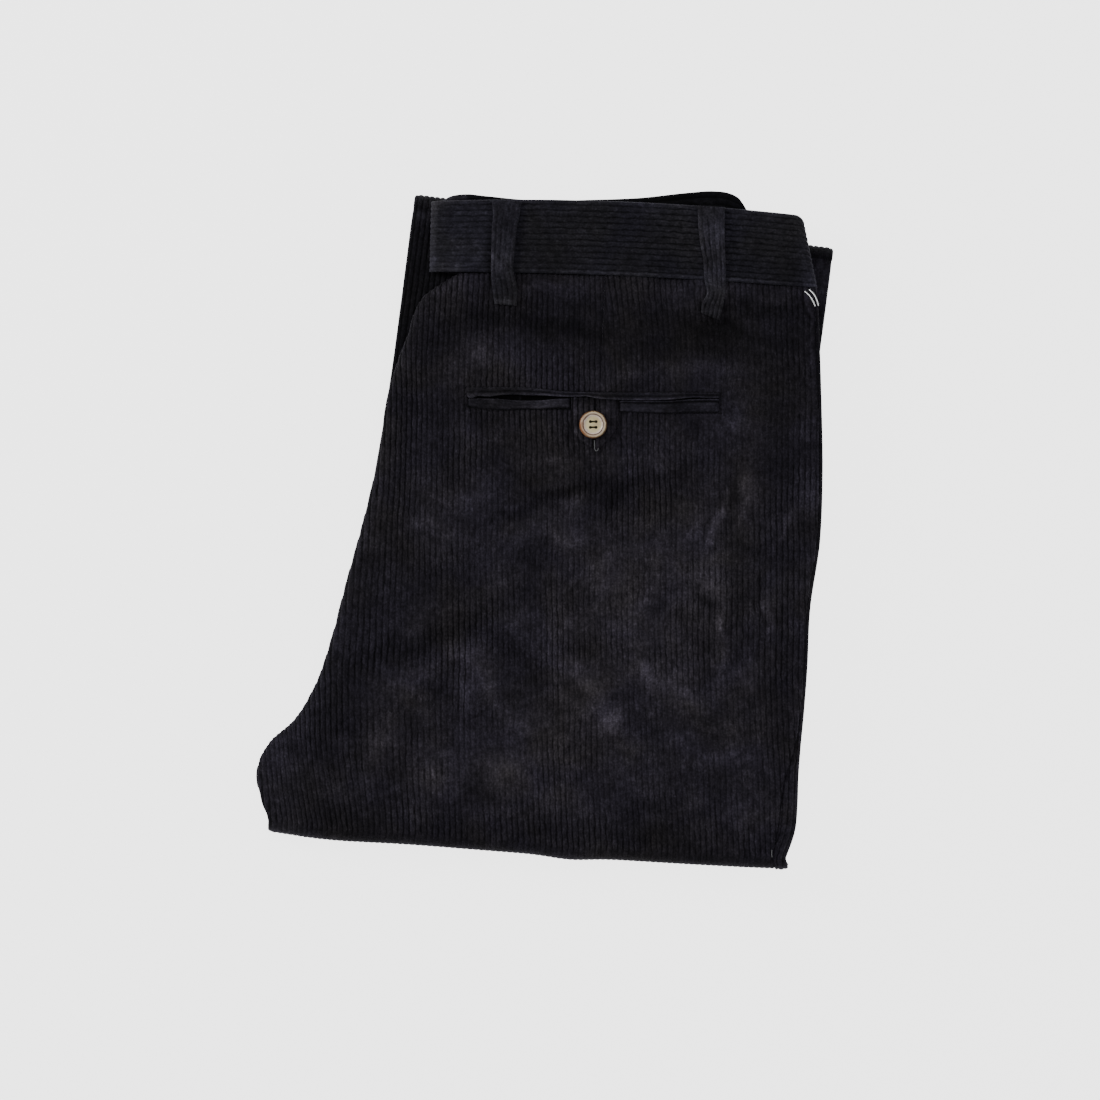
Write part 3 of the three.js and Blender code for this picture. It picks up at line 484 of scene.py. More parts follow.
def lay(rows, t, relief=None, depth=0.0):
    """Points at distance t over each section, depth below the outside."""
    r = {key: value[:, None] for key, value in rows.items()}
    length, ex, ey = heading(r)
    left, right = bend_length(r["lw"], r["ld"]), bend_length(r["rw"], r["rd"])
    t = np.clip(t, r["lw"] - left, length - r["rw"] + right)
    fl = np.clip((r["lw"] - t) / left, 0, 1) * math.pi / 2
    fr = np.clip((t - length + r["rw"]) / right, 0, 1) * math.pi / 2
    d = np.clip(t, r["lw"], length - r["rw"]) - r["lw"] * np.sin(fl) + r["rw"] * np.sin(fr)
    drop = r["ld"] * (1 - np.cos(fl)) + r["rd"] * (1 - np.cos(fr))
    share = d / length
    x = r["lx"] + ex * d
    plain_y = r["ly"] + ey * d
    y = plain_y + r["bow"] * 4 * share * (1 - share) - r["belly"] * belly(x)
    h = r["h"] - drop + (relief(x, y) if relief else 0.0)
    side = np.where(fl > 0, -r["ld"] * np.sin(fl), r["rd"] * np.sin(fr))
    lift = np.where(fl > 0, r["lw"] * np.cos(fl), np.where(fr > 0, r["rw"] * np.cos(fr), 1.0))
    size = np.maximum(1e-9, np.hypot(side, lift))
    x = x - depth * side / size * ex
    y = y - depth * side / size * ey
    h = h - depth * np.where(size > 1e-8, lift / size, 1.0)
    off = r["start"] + r["sign"] * h
    z = r["base"] + r["upz"] * off - r["sags"] * sag_at(x, plain_y, r["waist"])
    return np.stack([x + r["upx"] * off, y + r["upy"] * off, z], axis=-1)


print("a point at the middle of the lower fold, mm:", lay(one_row(LOWER), 150.0).round(1).tolist())

# %% Distances over the cloth
def over(rows):
    """Where each section starts and ends, as distances over the cloth."""
    length = heading(rows)[0]
    return (rows["lw"] - bend_length(rows["lw"], rows["ld"]),
            length - rows["rw"] + bend_length(rows["rw"], rows["rd"]))


def trimmed(rows, t):
    """The distances t held within each section, and which of them lay inside it."""
    low, high = (edge[:, None] for edge in over(rows))
    return np.clip(t, low, high), (t > low) & (t < high)


def spread(rows, share):
    """Distances that divide every section in the same shares."""
    low, high = (edge[:, None] for edge in over(rows))
    return low + (high - low) * share


def flattened(rows, h, bends):
    """The same sections at one height, without the sizes that bends names."""
    return dict(rows, h=0 * rows["h"] + h, **{key: 0 * rows[key] for key in bends.split()})


def every(step, places):
    """The indices of the places that lie step apart, and of the last one."""
    last = len(places) - 1
    return np.unique(np.append(np.arange(0, last, step), last)).tolist()


print("over the lower fold's axis, mm:", [float(at[0].round(1)) for at in over(one_row(LOWER))])

# %% [markdown]
# ## A wall of cloth
#
# The outside needs many points, the inside few. The two grids share their rows, and a strip of
# triangles closes each end, as a zip does. Where wales run off a slanting edge their points fall
# together, and merging them leaves clean triangles. Each point stores its wale, how far it may be
# raised, and its tone.

# %% A wall of cloth
INSIDE_TONE = -0.3
SAME_POINT = 2e-6  # metres: points closer than this are merged
NO_LENGTH = 1e-7
ROW_LENGTH = 2.0  # how far a row counts along the wales, in pitches, where it needn't be exact


def zip_rows(outer, inner, match, flip):
    """Triangles between a fine row and a coarse one. match holds each inner point's outer index."""
    faces = []
    for k in range(len(inner) - 1):
        middle = (match[k] + match[k + 1]) // 2
        for j in range(match[k], match[k + 1]):
            side = inner[k] if j < middle else inner[k + 1]
            faces.append((outer[j], outer[j + 1], side))
        faces.append((inner[k], outer[middle], inner[k + 1]))
    return [face[::-1] if flip else face for face in faces]


def quads(grid, flip):
    a, b, c, d = grid[:-1, :-1], grid[1:, :-1], grid[1:, 1:], grid[:-1, 1:]
    faces = np.stack([a, b, c, d], axis=-1).reshape(-1, 4)
    return faces[:, ::-1] if flip else faces


def cloth_wall(name, outer, inner, match, wale, along, lift, tone, inner_lift=0.0):
    """A closed wall between two grids of points, in millimetres."""
    shape, inner_shape = outer.shape[:2], inner.shape[:2]
    out_ids = np.arange(math.prod(shape)).reshape(shape)
    in_ids = out_ids.size + np.arange(math.prod(inner_shape)).reshape(inner_shape)
    faces = quads(out_ids, False).tolist() + quads(in_ids, True).tolist()
    for edge, flip in ((0, True), (-1, False)):
        o, n = out_ids[:, edge], in_ids[:, edge]
        strip = np.stack([o[:-1], o[1:], n[1:], n[:-1]], axis=-1)
        faces += (strip if flip else strip[:, ::-1]).tolist()
    faces += zip_rows(out_ids[0], in_ids[0], match, False)
    faces += zip_rows(out_ids[-1], in_ids[-1], match, True)
    points = np.concatenate([outer.reshape(-1, 3), inner.reshape(-1, 3)]) * MM
    mesh = bpy.data.meshes.new(name)
    mesh.from_pydata(points.tolist(), [], faces)

    def on_both(out_values, in_values=None):
        """One value for each point: where the inside has none of its own, the outside's."""
        out_values = np.broadcast_to(out_values, shape).astype(float)
        in_values = out_values[:, match] if in_values is None else in_values
        in_values = np.broadcast_to(in_values, inner_shape)
        return np.concatenate([out_values.ravel(), in_values.ravel()])

    wale = on_both(wale)
    values = {"wale": wale, "lift": on_both(lift, inner_lift), "tone": on_both(tone, INSIDE_TONE)}
    for key, value in values.items():
        mesh.attributes.new(key, "FLOAT", "POINT").data.foreach_set("value", value)
    corner = np.zeros(len(mesh.loops), int)
    mesh.loops.foreach_get("vertex_index", corner)
    uv = mesh.uv_layers.new(name="cloth")
    uv.data.foreach_set("uv", np.stack([wale[corner], on_both(along)[corner]], axis=-1).ravel())
    work = bmesh.new()
    work.from_mesh(mesh)
    bmesh.ops.remove_doubles(work, verts=work.verts, dist=SAME_POINT)
    bmesh.ops.dissolve_degenerate(work, edges=work.edges, dist=NO_LENGTH)
    for face in work.faces:
        face.smooth = True
    work.to_mesh(mesh)
    work.free()
    return add_object(name, mesh)


print("merged below, micrometres:", SAME_POINT * 1e6)

# %% Places of the wales
# Points across one wale: close together at the groove, where the cloth bends most.
PHASES = np.array([0.0, 0.14, 0.34, 0.66, 0.86])


def wale_columns(first, last, phases=PHASES):
    """The places of all points across the wales from first to last, counted in wales."""
    wales = np.arange(math.floor(first), math.ceil(last))
    return (wales[:, None] + phases[None, :]).ravel()


print("points across one wale:", len(PHASES))

# %% [markdown]
# ## Raising the wales
#
# Every wale has the same rule: it rises from its groove, rounds over and falls again. That is a job
# for Geometry Nodes. The tree below reads how far across its wale each point lies, works out the
# round height, roughens it a little, and moves the point along its normal.

# %% Nodes
COLUMN = 200  # how nodes are set out in the editor
ROW = 180
NODES_DOWN = 6


def new_tree(name, inputs):
    """A tree with these inputs, each a name and a kind, and what its input node gives."""
    tree = bpy.data.node_groups.new(name, "GeometryNodeTree")
    for label, kind in inputs:
        tree.interface.new_socket(name=label, in_out="INPUT", socket_type="NodeSocket" + kind)
    tree.interface.new_socket(name="Geometry", in_out="OUTPUT", socket_type="NodeSocketGeometry")
    return tree, put(tree, "NodeGroupInput").outputs


def put(tree, kind, **settings):
    """A new node with these settings. Nodes are set out in columns, in the order they are made."""
    count = len(tree.nodes)
    node = tree.nodes.new(kind)
    node.location = (COLUMN * (count // NODES_DOWN), -ROW * (count % NODES_DOWN))
    for key, value in settings.items():
        setattr(node, key, value)
    return node


def maths(tree, operation, a, b=None):
    """A Math node. a and b are sockets or plain numbers."""
    node = put(tree, "ShaderNodeMath", operation=operation)
    for socket, value in zip(node.inputs, (a, b)):
        if isinstance(value, (int, float)):
            socket.default_value = value
        elif value is not None:
            tree.links.new(value, socket)
    return node.outputs[0]


def attribute(tree, name):
    """What a point of the mesh has stored under this name."""
    node = put(tree, "GeometryNodeInputNamedAttribute", data_type="FLOAT")
    node.inputs["Name"].default_value = name
    return node.outputs["Attribute"]


def end_tree(tree, geometry, material):
    """The last nodes of a tree: instances made real, the material set, and the output."""
    real = put(tree, "GeometryNodeRealizeInstances")
    tree.links.new(geometry, real.inputs["Geometry"])
    paint = put(tree, "GeometryNodeSetMaterial")
    tree.links.new(real.outputs["Geometry"], paint.inputs["Geometry"])
    tree.links.new(material, paint.inputs["Material"])
    target = put(tree, "NodeGroupOutput")
    tree.links.new(paint.outputs["Geometry"], target.inputs["Geometry"])


print("nodes in a column:", NODES_DOWN)

# %% Wale tree
SQUARENESS = 1.8  # 1 makes a wale a roof, and much more makes it a box
TUFT_SCALE = 210.0
WORN_BY = -0.3  # how a pale tone changes a wale's height
MOST_WORN = -0.6
LEAST_WORN = 0.4


def wale_tree():
    tree, given = new_tree("raise wales", [
        ("Geometry", "Geometry"), ("Height", "Float"), ("Unevenness", "Float"), ("Seed", "Float"),
        ("Material", "Material")])
    link = tree.links.new
    share = maths(tree, "FRACT", attribute(tree, "wale"))
    from_middle = maths(tree, "ABSOLUTE", maths(tree, "SUBTRACT", share, 0.5))
    squeezed = maths(tree, "POWER", maths(tree, "MULTIPLY", from_middle, 2.0), SQUARENESS)
    rounded = maths(tree, "SUBTRACT", 1.0, squeezed)
    noise = put(tree, "ShaderNodeTexNoise", noise_dimensions="4D")
    noise.inputs["Scale"].default_value = TUFT_SCALE
    noise.inputs["Detail"].default_value = 2.0
    link(put(tree, "GeometryNodeInputPosition").outputs["Position"], noise.inputs["Vector"])
    link(given["Seed"], noise.inputs["W"])
    swing = maths(tree, "SUBTRACT", noise.outputs["Fac"], 0.5)
    uneven = maths(tree, "ADD", maths(tree, "MULTIPLY", swing, given["Unevenness"]), 1.0)
    worn = maths(tree, "MULTIPLY", attribute(tree, "tone"), WORN_BY)
    worn = maths(tree, "MINIMUM", maths(tree, "MAXIMUM", worn, MOST_WORN), LEAST_WORN)
    height = maths(tree, "MULTIPLY", rounded, maths(tree, "ADD", uneven, worn))
    height = maths(tree, "MULTIPLY", height, attribute(tree, "lift"))
    height = maths(tree, "MULTIPLY", height, given["Height"])
    scale = put(tree, "ShaderNodeVectorMath", operation="SCALE")
    link(put(tree, "GeometryNodeInputNormal").outputs["Normal"], scale.inputs[0])
    link(height, scale.inputs["Scale"])
    move = put(tree, "GeometryNodeSetPosition")
    link(given["Geometry"], move.inputs["Geometry"])
    link(scale.outputs["Vector"], move.inputs["Offset"])
    end_tree(tree, move.outputs["Geometry"], given["Material"])
    return tree


WALE_TREE = wale_tree()
print("wale tree nodes:", len(WALE_TREE.nodes))

# %% Running a tree
def keep_result(piece):
    """Makes what the modifiers give the piece's plain mesh, and removes them."""
    bpy.context.view_layer.update()
    ready = piece.evaluated_get(bpy.context.evaluated_depsgraph_get())
    mesh = bpy.data.meshes.new_from_object(ready)
    piece.modifiers.clear()
    plain = piece.data
    piece.data = mesh
    bpy.data.meshes.remove(plain)
    mesh.name = piece.name
    return piece


def bake_tree(piece, tree, **values):
    """Runs a tree on a piece and keeps the result."""
    modifier = piece.modifiers.new("nodes", "NODES")
    modifier.node_group = tree
    for item in tree.interface.items_tree:
        if item.in_out == "INPUT" and item.name in values:
            modifier[item.identifier] = values[item.name]
    return keep_result(piece)


def raise_wales(piece, height, uneven, seed, material):
    return bake_tree(piece, WALE_TREE, Height=height * MM, Unevenness=uneven, Seed=seed,
                     Material=material)


print("inputs of the wale tree:", [item.name for item in WALE_TREE.interface.items_tree])

# %% [markdown]
# ## Corduroy
#
# Corduroy is a pile cloth. Its pile stands up in rows and takes the light by sheen, while the bare
# ground between the rows stays almost black. So the colour goes with the place across the wale:
# its grooves are darker, partly for the bare ground and partly as painted shade, and its crests
# carry a painted highlight. The tone that each point stores pales or darkens it, where the pile is
# rubbed or turned and where highlights and shade are painted. Fine noise along the wale gives the
# tufts. It is drawn on the cloth's own UV map, which counts wales one way and the length along
# them the other.

# %% Parts of the cloth's pattern
COOL = (0.97, 0.96, 1.05)  # how the dye drifts to violet in some places
WARM = (1.04, 1.04, 0.9)  # and to a warmer grey in others


def noise_on(tree, vector, scale, detail, roughness, distortion=0.0):
    """A noise texture, centred on nought."""
    node = put(tree, "ShaderNodeTexNoise")
    node.inputs["Scale"].default_value = scale
    node.inputs["Detail"].default_value = detail
    node.inputs["Roughness"].default_value = roughness
    node.inputs["Distortion"].default_value = distortion
    tree.links.new(vector, node.inputs["Vector"])
    return maths(tree, "SUBTRACT", node.outputs["Fac"], 0.5)


def stretched(tree, vector, scale):
    node = put(tree, "ShaderNodeMapping")
    node.inputs["Scale"].default_value = scale
    tree.links.new(vector, node.inputs["Vector"])
    return node.outputs["Vector"]


def weighed(tree, parts):
    """A sum of (socket, weight) pairs."""
    total = None
    for socket, weight in parts:
        part = maths(tree, "MULTIPLY", socket, weight)
        total = part if total is None else maths(tree, "ADD", total, part)
    return total


def wale_shade(tree, uv, depth, crest, parting):
    """How bright the pile is across a wale: 1 on the whole, less at its grooves and its parting."""
    split = put(tree, "ShaderNodeSeparateXYZ")
    tree.links.new(uv, split.inputs["Vector"])
    wobble = noise_on(tree, stretched(tree, uv, (0.9, 0.5, 1.0)), 1.0, 2.0, 0.6)
    across = maths(tree, "ADD", split.outputs["X"], maths(tree, "MULTIPLY", wobble, 0.7))
    share = maths(tree, "FRACT", across)
    beside = maths(tree, "ABSOLUTE", maths(tree, "SUBTRACT", share, 0.5))
    # Darker towards the groove, partly for the bare ground and partly as painted shade; the crest is
    # a painted highlight.
    groove = maths(tree, "POWER", maths(tree, "MULTIPLY", beside, 2.0), crest)
    mean_groove = 1 / (crest + 1)
    ridge = maths(tree, "SUBTRACT", mean_groove, groove)
    twice = maths(tree, "COSINE", maths(tree, "MULTIPLY", share, 4 * math.pi))
    ridge = maths(tree, "SUBTRACT", ridge, maths(tree, "MULTIPLY", twice, parting))
    return maths(tree, "ADD", maths(tree, "MULTIPLY", ridge, depth), 1.0)


def dyed(tree, place, tint):
    """The tint, drifting from COOL to WARM over the cloth."""
    drift = noise_on(tree, place, 30.0, 2.0, 0.5, 0.4)
    warm = maths(tree, "ADD", maths(tree, "MULTIPLY", drift, 3.0), 0.35)
    warm.node.use_clamp = True
    hue = put(tree, "ShaderNodeMix", data_type="RGBA")
    tree.links.new(warm, hue.inputs["Factor"])
    hue.inputs["A"].default_value = [c * s for c, s in zip(tint, COOL)] + [1.0]
    hue.inputs["B"].default_value = [c * s for c, s in zip(tint, WARM)] + [1.0]
    return hue.outputs["Result"]


print("dye drifts from", COOL, "to", WARM)

# %% Corduroy
def corduroy(name, tint, light, contrast=0.52, crest=1.3, fade=3.0, parting=0.3, sheen=0.05,
             blotches=1.0):
    """Pile cloth. light is how pale its pile is, contrast how dark the ground between the wales
    is, crest how broad a wale looks, and fade how much that contrast comes and goes. parting
    is how dark the line down the middle of a wale is, where its pile falls to either side."""
    material, shader = new_material(name, {
        "Roughness": 0.95, "Specular IOR Level": 0.08, "Sheen Weight": sheen,
        "Sheen Roughness": 0.4, "Sheen Tint": (*tint, 1.0)})
    tree = material.node_tree
    link = tree.links.new
    uv = put(tree, "ShaderNodeUVMap", uv_map="cloth").outputs["UV"]
    place = put(tree, "ShaderNodeTexCoord").outputs["Object"]
    stored = put(tree, "ShaderNodeAttribute", attribute_name="tone").outputs["Fac"]
    raised = put(tree, "ShaderNodeAttribute", attribute_name="lift").outputs["Fac"]

    broad = noise_on(tree, place, 17.0, 3.0, 0.55, 0.6)
    wisps = noise_on(tree, place, 52.0, 4.0, 0.55, 0.5)
    flecks = noise_on(tree, place, 260.0, 3.0, 0.6, 0.5)
    grain = noise_on(tree, place, 900.0, 2.0, 0.7)
    tufts = noise_on(tree, stretched(tree, uv, (1.3, 0.42, 1.0)), 1.6, 2.0, 0.6)
    patches = noise_on(tree, stretched(tree, place, (1.0, 0.6, 1.0)), 34.0, 3.0, 0.6, 0.8)
    torn = maths(tree, "ADD", maths(tree, "MULTIPLY", wisps, 2.4), 1.0)
    nap_and_painted_light = maths(tree, "MULTIPLY", stored, torn)

    depth = maths(tree, "ADD", weighed(tree, [(nap_and_painted_light, -0.36), (patches, fade)]), contrast)
    depth = maths(tree, "MINIMUM", maths(tree, "MAXIMUM", depth, 0.04), 0.95)
    wale = wale_shade(tree, uv, maths(tree, "MULTIPLY", depth, raised), crest, parting)
    total = weighed(tree, [(nap_and_painted_light, 1.0), (broad, 3.2 * blotches), (wisps, 3.8 * blotches),
                           (flecks, 3.2), (grain, 4.6), (tufts, 3.0)])
    paleness = maths(tree, "POWER", 2.0, maths(tree, "MULTIPLY", total, 0.75))
    amount = maths(tree, "MULTIPLY", maths(tree, "MULTIPLY", paleness, wale), light)
    color = put(tree, "ShaderNodeVectorMath", operation="SCALE")
    link(dyed(tree, place, tint), color.inputs[0])
    link(amount, color.inputs["Scale"])
    link(color.outputs["Vector"], shader.inputs["Base Color"])

    bump = put(tree, "ShaderNodeBump")
    bump.inputs["Strength"].default_value = 0.6
    bump.inputs["Distance"].default_value = 0.0004
    link(maths(tree, "ADD", grain, flecks), bump.inputs["Height"])
    link(bump.outputs["Normal"], shader.inputs["Normal"])
    return material


PANEL_CORDUROY = corduroy("panel corduroy", (0.85, 0.755, 1.0), 0.0148)
BAND_CORDUROY = corduroy("waistband corduroy", (0.79, 0.75, 1.0), 0.0118, contrast=0.6,
                         crest=3.0, fade=2.2, parting=0.1, blotches=0.6)
LOOP_CORDUROY = corduroy("loop corduroy", (0.83, 0.78, 1.0), 0.0138, contrast=0.35, fade=2.0,
                         blotches=0.8)
DARK_CORDUROY = corduroy("shaded corduroy", (0.83, 0.76, 1.0), 0.0065, sheen=0.02)
CORDUROYS = [PANEL_CORDUROY, BAND_CORDUROY, LOOP_CORDUROY, DARK_CORDUROY]
print("cloth materials:", [cloth.name for cloth in CORDUROYS])

# %% [markdown]
# ## Where the belt loops lie
#
# A loop stands a little off the cloth and keeps the light from a narrow line beside it. The loops
# themselves come later, but the cloth under them needs to know where that line is.

# %% Places of the belt loops
BELT_LOOPS = {  # from the top edge of the band to the loop's foot
    "belt_loop_back": table_of(
        "lx rx ly ry h",
        (-29.7, -12.6, 185.6, 185.2, 11.0), (-28.9, -13.8, 177.7, 177.5, 11.4),
        (-29.4, -15.4, 169.8, 169.6, 11.7), (-29.6, -16.6, 158.5, 158.3, 11.8),
        (-29.9, -17.4, 145.5, 145.2, 11.0), (-29.3, -15.4, 137.7, 137.2, 9.9),
        (-28.0, -15.6, 127.6, 126.4, 9.4),
    ),
    "belt_loop_side": table_of(
        "lx rx ly ry h",
        (86.2, 101.5, 182.6, 181.8, 11.15), (86.4, 101.3, 172.6, 172.2, 11.7),
        (87.6, 101.4, 161.3, 160.8, 12.0), (89.4, 101.7, 151.8, 151.2, 11.8),
        (89.9, 101.8, 141.5, 140.6, 11.0), (91.4, 101.4, 133.4, 131.6, 10.1),
        (88.6, 99.9, 127.2, 124.0, 9.8), (88.2, 98.4, 122.6, 118.2, 9.3),
    ),
}


def beside_loops(x, y):
    """The shaded line down the left side of each belt loop."""
    total = 0 * x
    for table in BELT_LOOPS.values():
        up = table[::-1]
        side = np.interp(y, [row["ly"] for row in up], [row["lx"] for row in up])
        total = total + (np.exp(-((x - side + 0.8) / 0.8) ** 2)
                         * np.clip((y - up[0]["ly"]) / 3, 0, 1))
    return total


print("belt loop rows:", [len(table) for table in BELT_LOOPS.values()])

# %% [markdown]
# ## Right back
#
# The largest piece is the whole top: the seat of the right back and the start of its leg, rolled
# down at the seat seam and taken round the lower fold. Its wales run from waist to hem. They lean
# where the cloth is pulled, and at the dart a wedge of them is taken away.

# %% Wales of the back
PANEL_SPAN = (-166.0, 158.0)  # its first wale and its last one
MOUTH_DEPTH = 1.2
DART = dict(top_x=34.5, top_y=141.5, end_x=31.5, end_y=82.0, taken=5.0, reach=80.0)
SLOT = dict(x=[-42.0, 16.0, 98.0], y=[73.8, 73.0, 71.6], middle=27.3, half=70.5, high=5.0)
LEANS = [  # where the cloth is pulled askew: x, y, half width, half height, slope
    (-105, -10, 34, 62, 0.085), (-125, -152, 42, 30, -0.2), (70, -140, 90, 50, -0.06),
    (-60, 120, 30, 30, 0.05),
]
SEAT_STEP = 2.5
POCKET_ROWS = np.arange(61.0, 81.0, 0.8)  # distances from the waist seam, where rows lie closer
TUCK = 9.0  # how far the cloth runs in under the stack past the lower fold
PRESSED = 0.55  # how much of a wale's height the lower fold takes
LOWEST_SPOT = -188
SEAM_ROLL = dict(rw=1.2, rd=0.8)
LEFT_ROLL = 5.0


def dart_x(y):
    return np.interp(y, [DART["end_y"], DART["top_y"]], [DART["end_x"], DART["top_x"]])


def dart_line(x, y):
    """The closed seam of the dart: one from its tip to the waist, nought a little way off."""
    above = np.clip((y - DART["end_y"]) / 8.0, 0, 1)
    return 0.9 * above * np.exp(-((x - dart_x(y)) / 0.9) ** 2)


def drift(a, y):
    """How far a wale that starts at a has moved sideways at y."""
    total = np.zeros(np.broadcast(a, y).shape)
    for at_x, at_y, wide, high, slope in LEANS:
        total += (slope * np.exp(-((a - at_x) / wide) ** 2) * high * 0.886
                  * np.tanh(1.2 * (y - at_y) / high))
    up = np.clip((y - DART["end_y"]) / (DART["top_y"] - DART["end_y"]), 0, 1.1)
    beyond = np.exp(-np.maximum(0, a - DART["top_x"]) / DART["reach"])
    wander = (0.3 * np.sin(y / 17 + a / 41) + 0.16 * np.sin(y / 7.3 + a / 19 + 2)
              + 0.25 * np.sin(a / 23 + y / 60))
    return total + wander - DART["taken"] * up ** 1.5 * beyond * (a > DART["top_x"])


print("the dart takes, mm:", DART["taken"])

# %% Ground of the back
def to_seam(table):
    """The rows with their right ends moved in to the side seam."""
    moved_rows = []
    for row in table:
        share = row["seam"] / heading(row)[0]
        moved_rows.append({**row, "rx": row["rx"] + (row["lx"] - row["rx"]) * share,
                           "ry": row["ry"] + (row["ly"] - row["ry"]) * share})
    return moved_rows


def follow(rows, a):
    """The distance over each section at which the wale a crosses it, and whether the dart cuts it."""
    r = {key: value[:, None] for key, value in rows.items()}
    _, ex, ey = heading(r)
    t = (a[None, :] - r["lx"]) / ex
    for _ in range(4):
        y = r["ly"] + ey * t
        x = a[None, :] + drift(a[None, :], y)
        t = (x - r["lx"]) / ex
    seam = dart_x(y)
    right = a[None, :] > DART["top_x"]
    cut = (y > DART["end_y"]) & np.where(right, x <= seam, x >= seam)
    return np.where(cut, (seam - r["lx"]) / ex, t), cut


def mouth(x, y):
    """The sunken ground of the pocket: one all over its long slot, nought outside."""
    past = np.clip((np.abs(x - SLOT["middle"]) - SLOT["half"]) * 2.5, -30, 30)
    above = y - np.interp(x, SLOT["x"], SLOT["y"])
    return np.exp(-(above / SLOT["high"]) ** 8) / (1 + np.exp(past))


def panel_relief(x, y):
    puff = 0.5 * np.exp(-((y - 82.5) / 2.6) ** 2) * np.exp(-((x - 27) / 72) ** 8)
    return seat_relief(x, y) + puff - MOUTH_DEPTH * mouth(x, y) - 0.35 * dart_line(x, y)


print("the pocket's slot, mm:", 2 * SLOT["half"], "wide")

# %% Right back
# Painted shade: on the rolled left edge, on the cloth round and past the lower fold, in the pocket's
# mouth and beside the belt loops.
PANEL_TONES = dict(shade_on_rolled_edge=1.6, shade_past_fold=0.5, mouth=4.5, beside_loops=1.5)


def right_back():
    seat = down_seat(SEAT_STEP, POCKET_ROWS, to_seam(SEAT))
    seat = plain_rows(len(seat["lx"]), **{**seat, "lw": LEFT_ROLL, "ld": seat["roll"],
                                          **SEAM_ROLL})
    low = to_seam([LOWER])[0]
    ends = dict(lw=3.0, ld=1.75, **SEAM_ROLL)
    tuck = one_row(moved(low, LOWER_OUT, -TUCK), upz=-1.0, belly=1.0, **ends)
    rows = join(seat, round_lower_fold(low, **ends), tuck)
    wales = wale_columns(*(edge / PITCH for edge in PANEL_SPAN))
    crossings, cut = follow(rows, wales * PITCH)
    t, inside = trimmed(rows, crossings)
    on_top = (np.arange(len(rows["lx"])) < len(seat["lx"]))[:, None]

    def relief(x, y):
        return np.where(on_top, panel_relief(x, y), 0.0)

    outer = lay(rows, t, relief)
    match = every(2 * len(PHASES), wales)
    inner = lay(rows, t[:, match], relief, PANEL_THICK)
    x, y = outer[..., 0], outer[..., 1]
    sunk = mouth(x, y) * on_top
    start = over(rows)[0]
    round_edge = np.clip((rows["lw"][:, None] - t) / (rows["lw"] - start)[:, None], 0, 1)
    # Nap tone and the painted light of the creases, then the painted shade; the dart's seam is darker
    # too.
    tone = (seat_tone(x, np.maximum(y, LOWEST_SPOT)) - PANEL_TONES["shade_on_rolled_edge"] * round_edge
            - PANEL_TONES["shade_past_fold"] * ~on_top)
    tone = (tone - PANEL_TONES["mouth"] * sunk - dart_line(x, y) * on_top
            - PANEL_TONES["beside_loops"] * beside_loops(x, y))
    lift = (inside & ~cut) * (1 - 0.9 * sunk) * (1 - PRESSED * ~on_top)
    lift = lift * (1 - np.clip(sum_of_spots(x, y, CRUSHED), 0, 0.75))
    piece = cloth_wall("right_back", outer, inner, match, wales, -y / PITCH, lift, tone)
    return raise_wales(piece, WALE_HEIGHT, 0.5, 1.0, PANEL_CORDUROY)


right_back_piece = right_back()
print("right back faces:", len(right_back_piece.data.polygons))

# %% [markdown]
# ## Right front
#
# Past the side seam the cloth is the right front. Only a strip of it shows: it comes out of the
# seam, goes round the side and in under the seat. Its wales follow the edge.

# %% Right front
FRONT_LOW = 3.6  # h of the strip's lower edge
FRONT_BEND = 3.0
STRIP = 9.0  # how far it goes in under the seat
FRONT_THICK = 1.4
FRONT_WALES = (-4, 5)
SEAM_GAP = 0.3


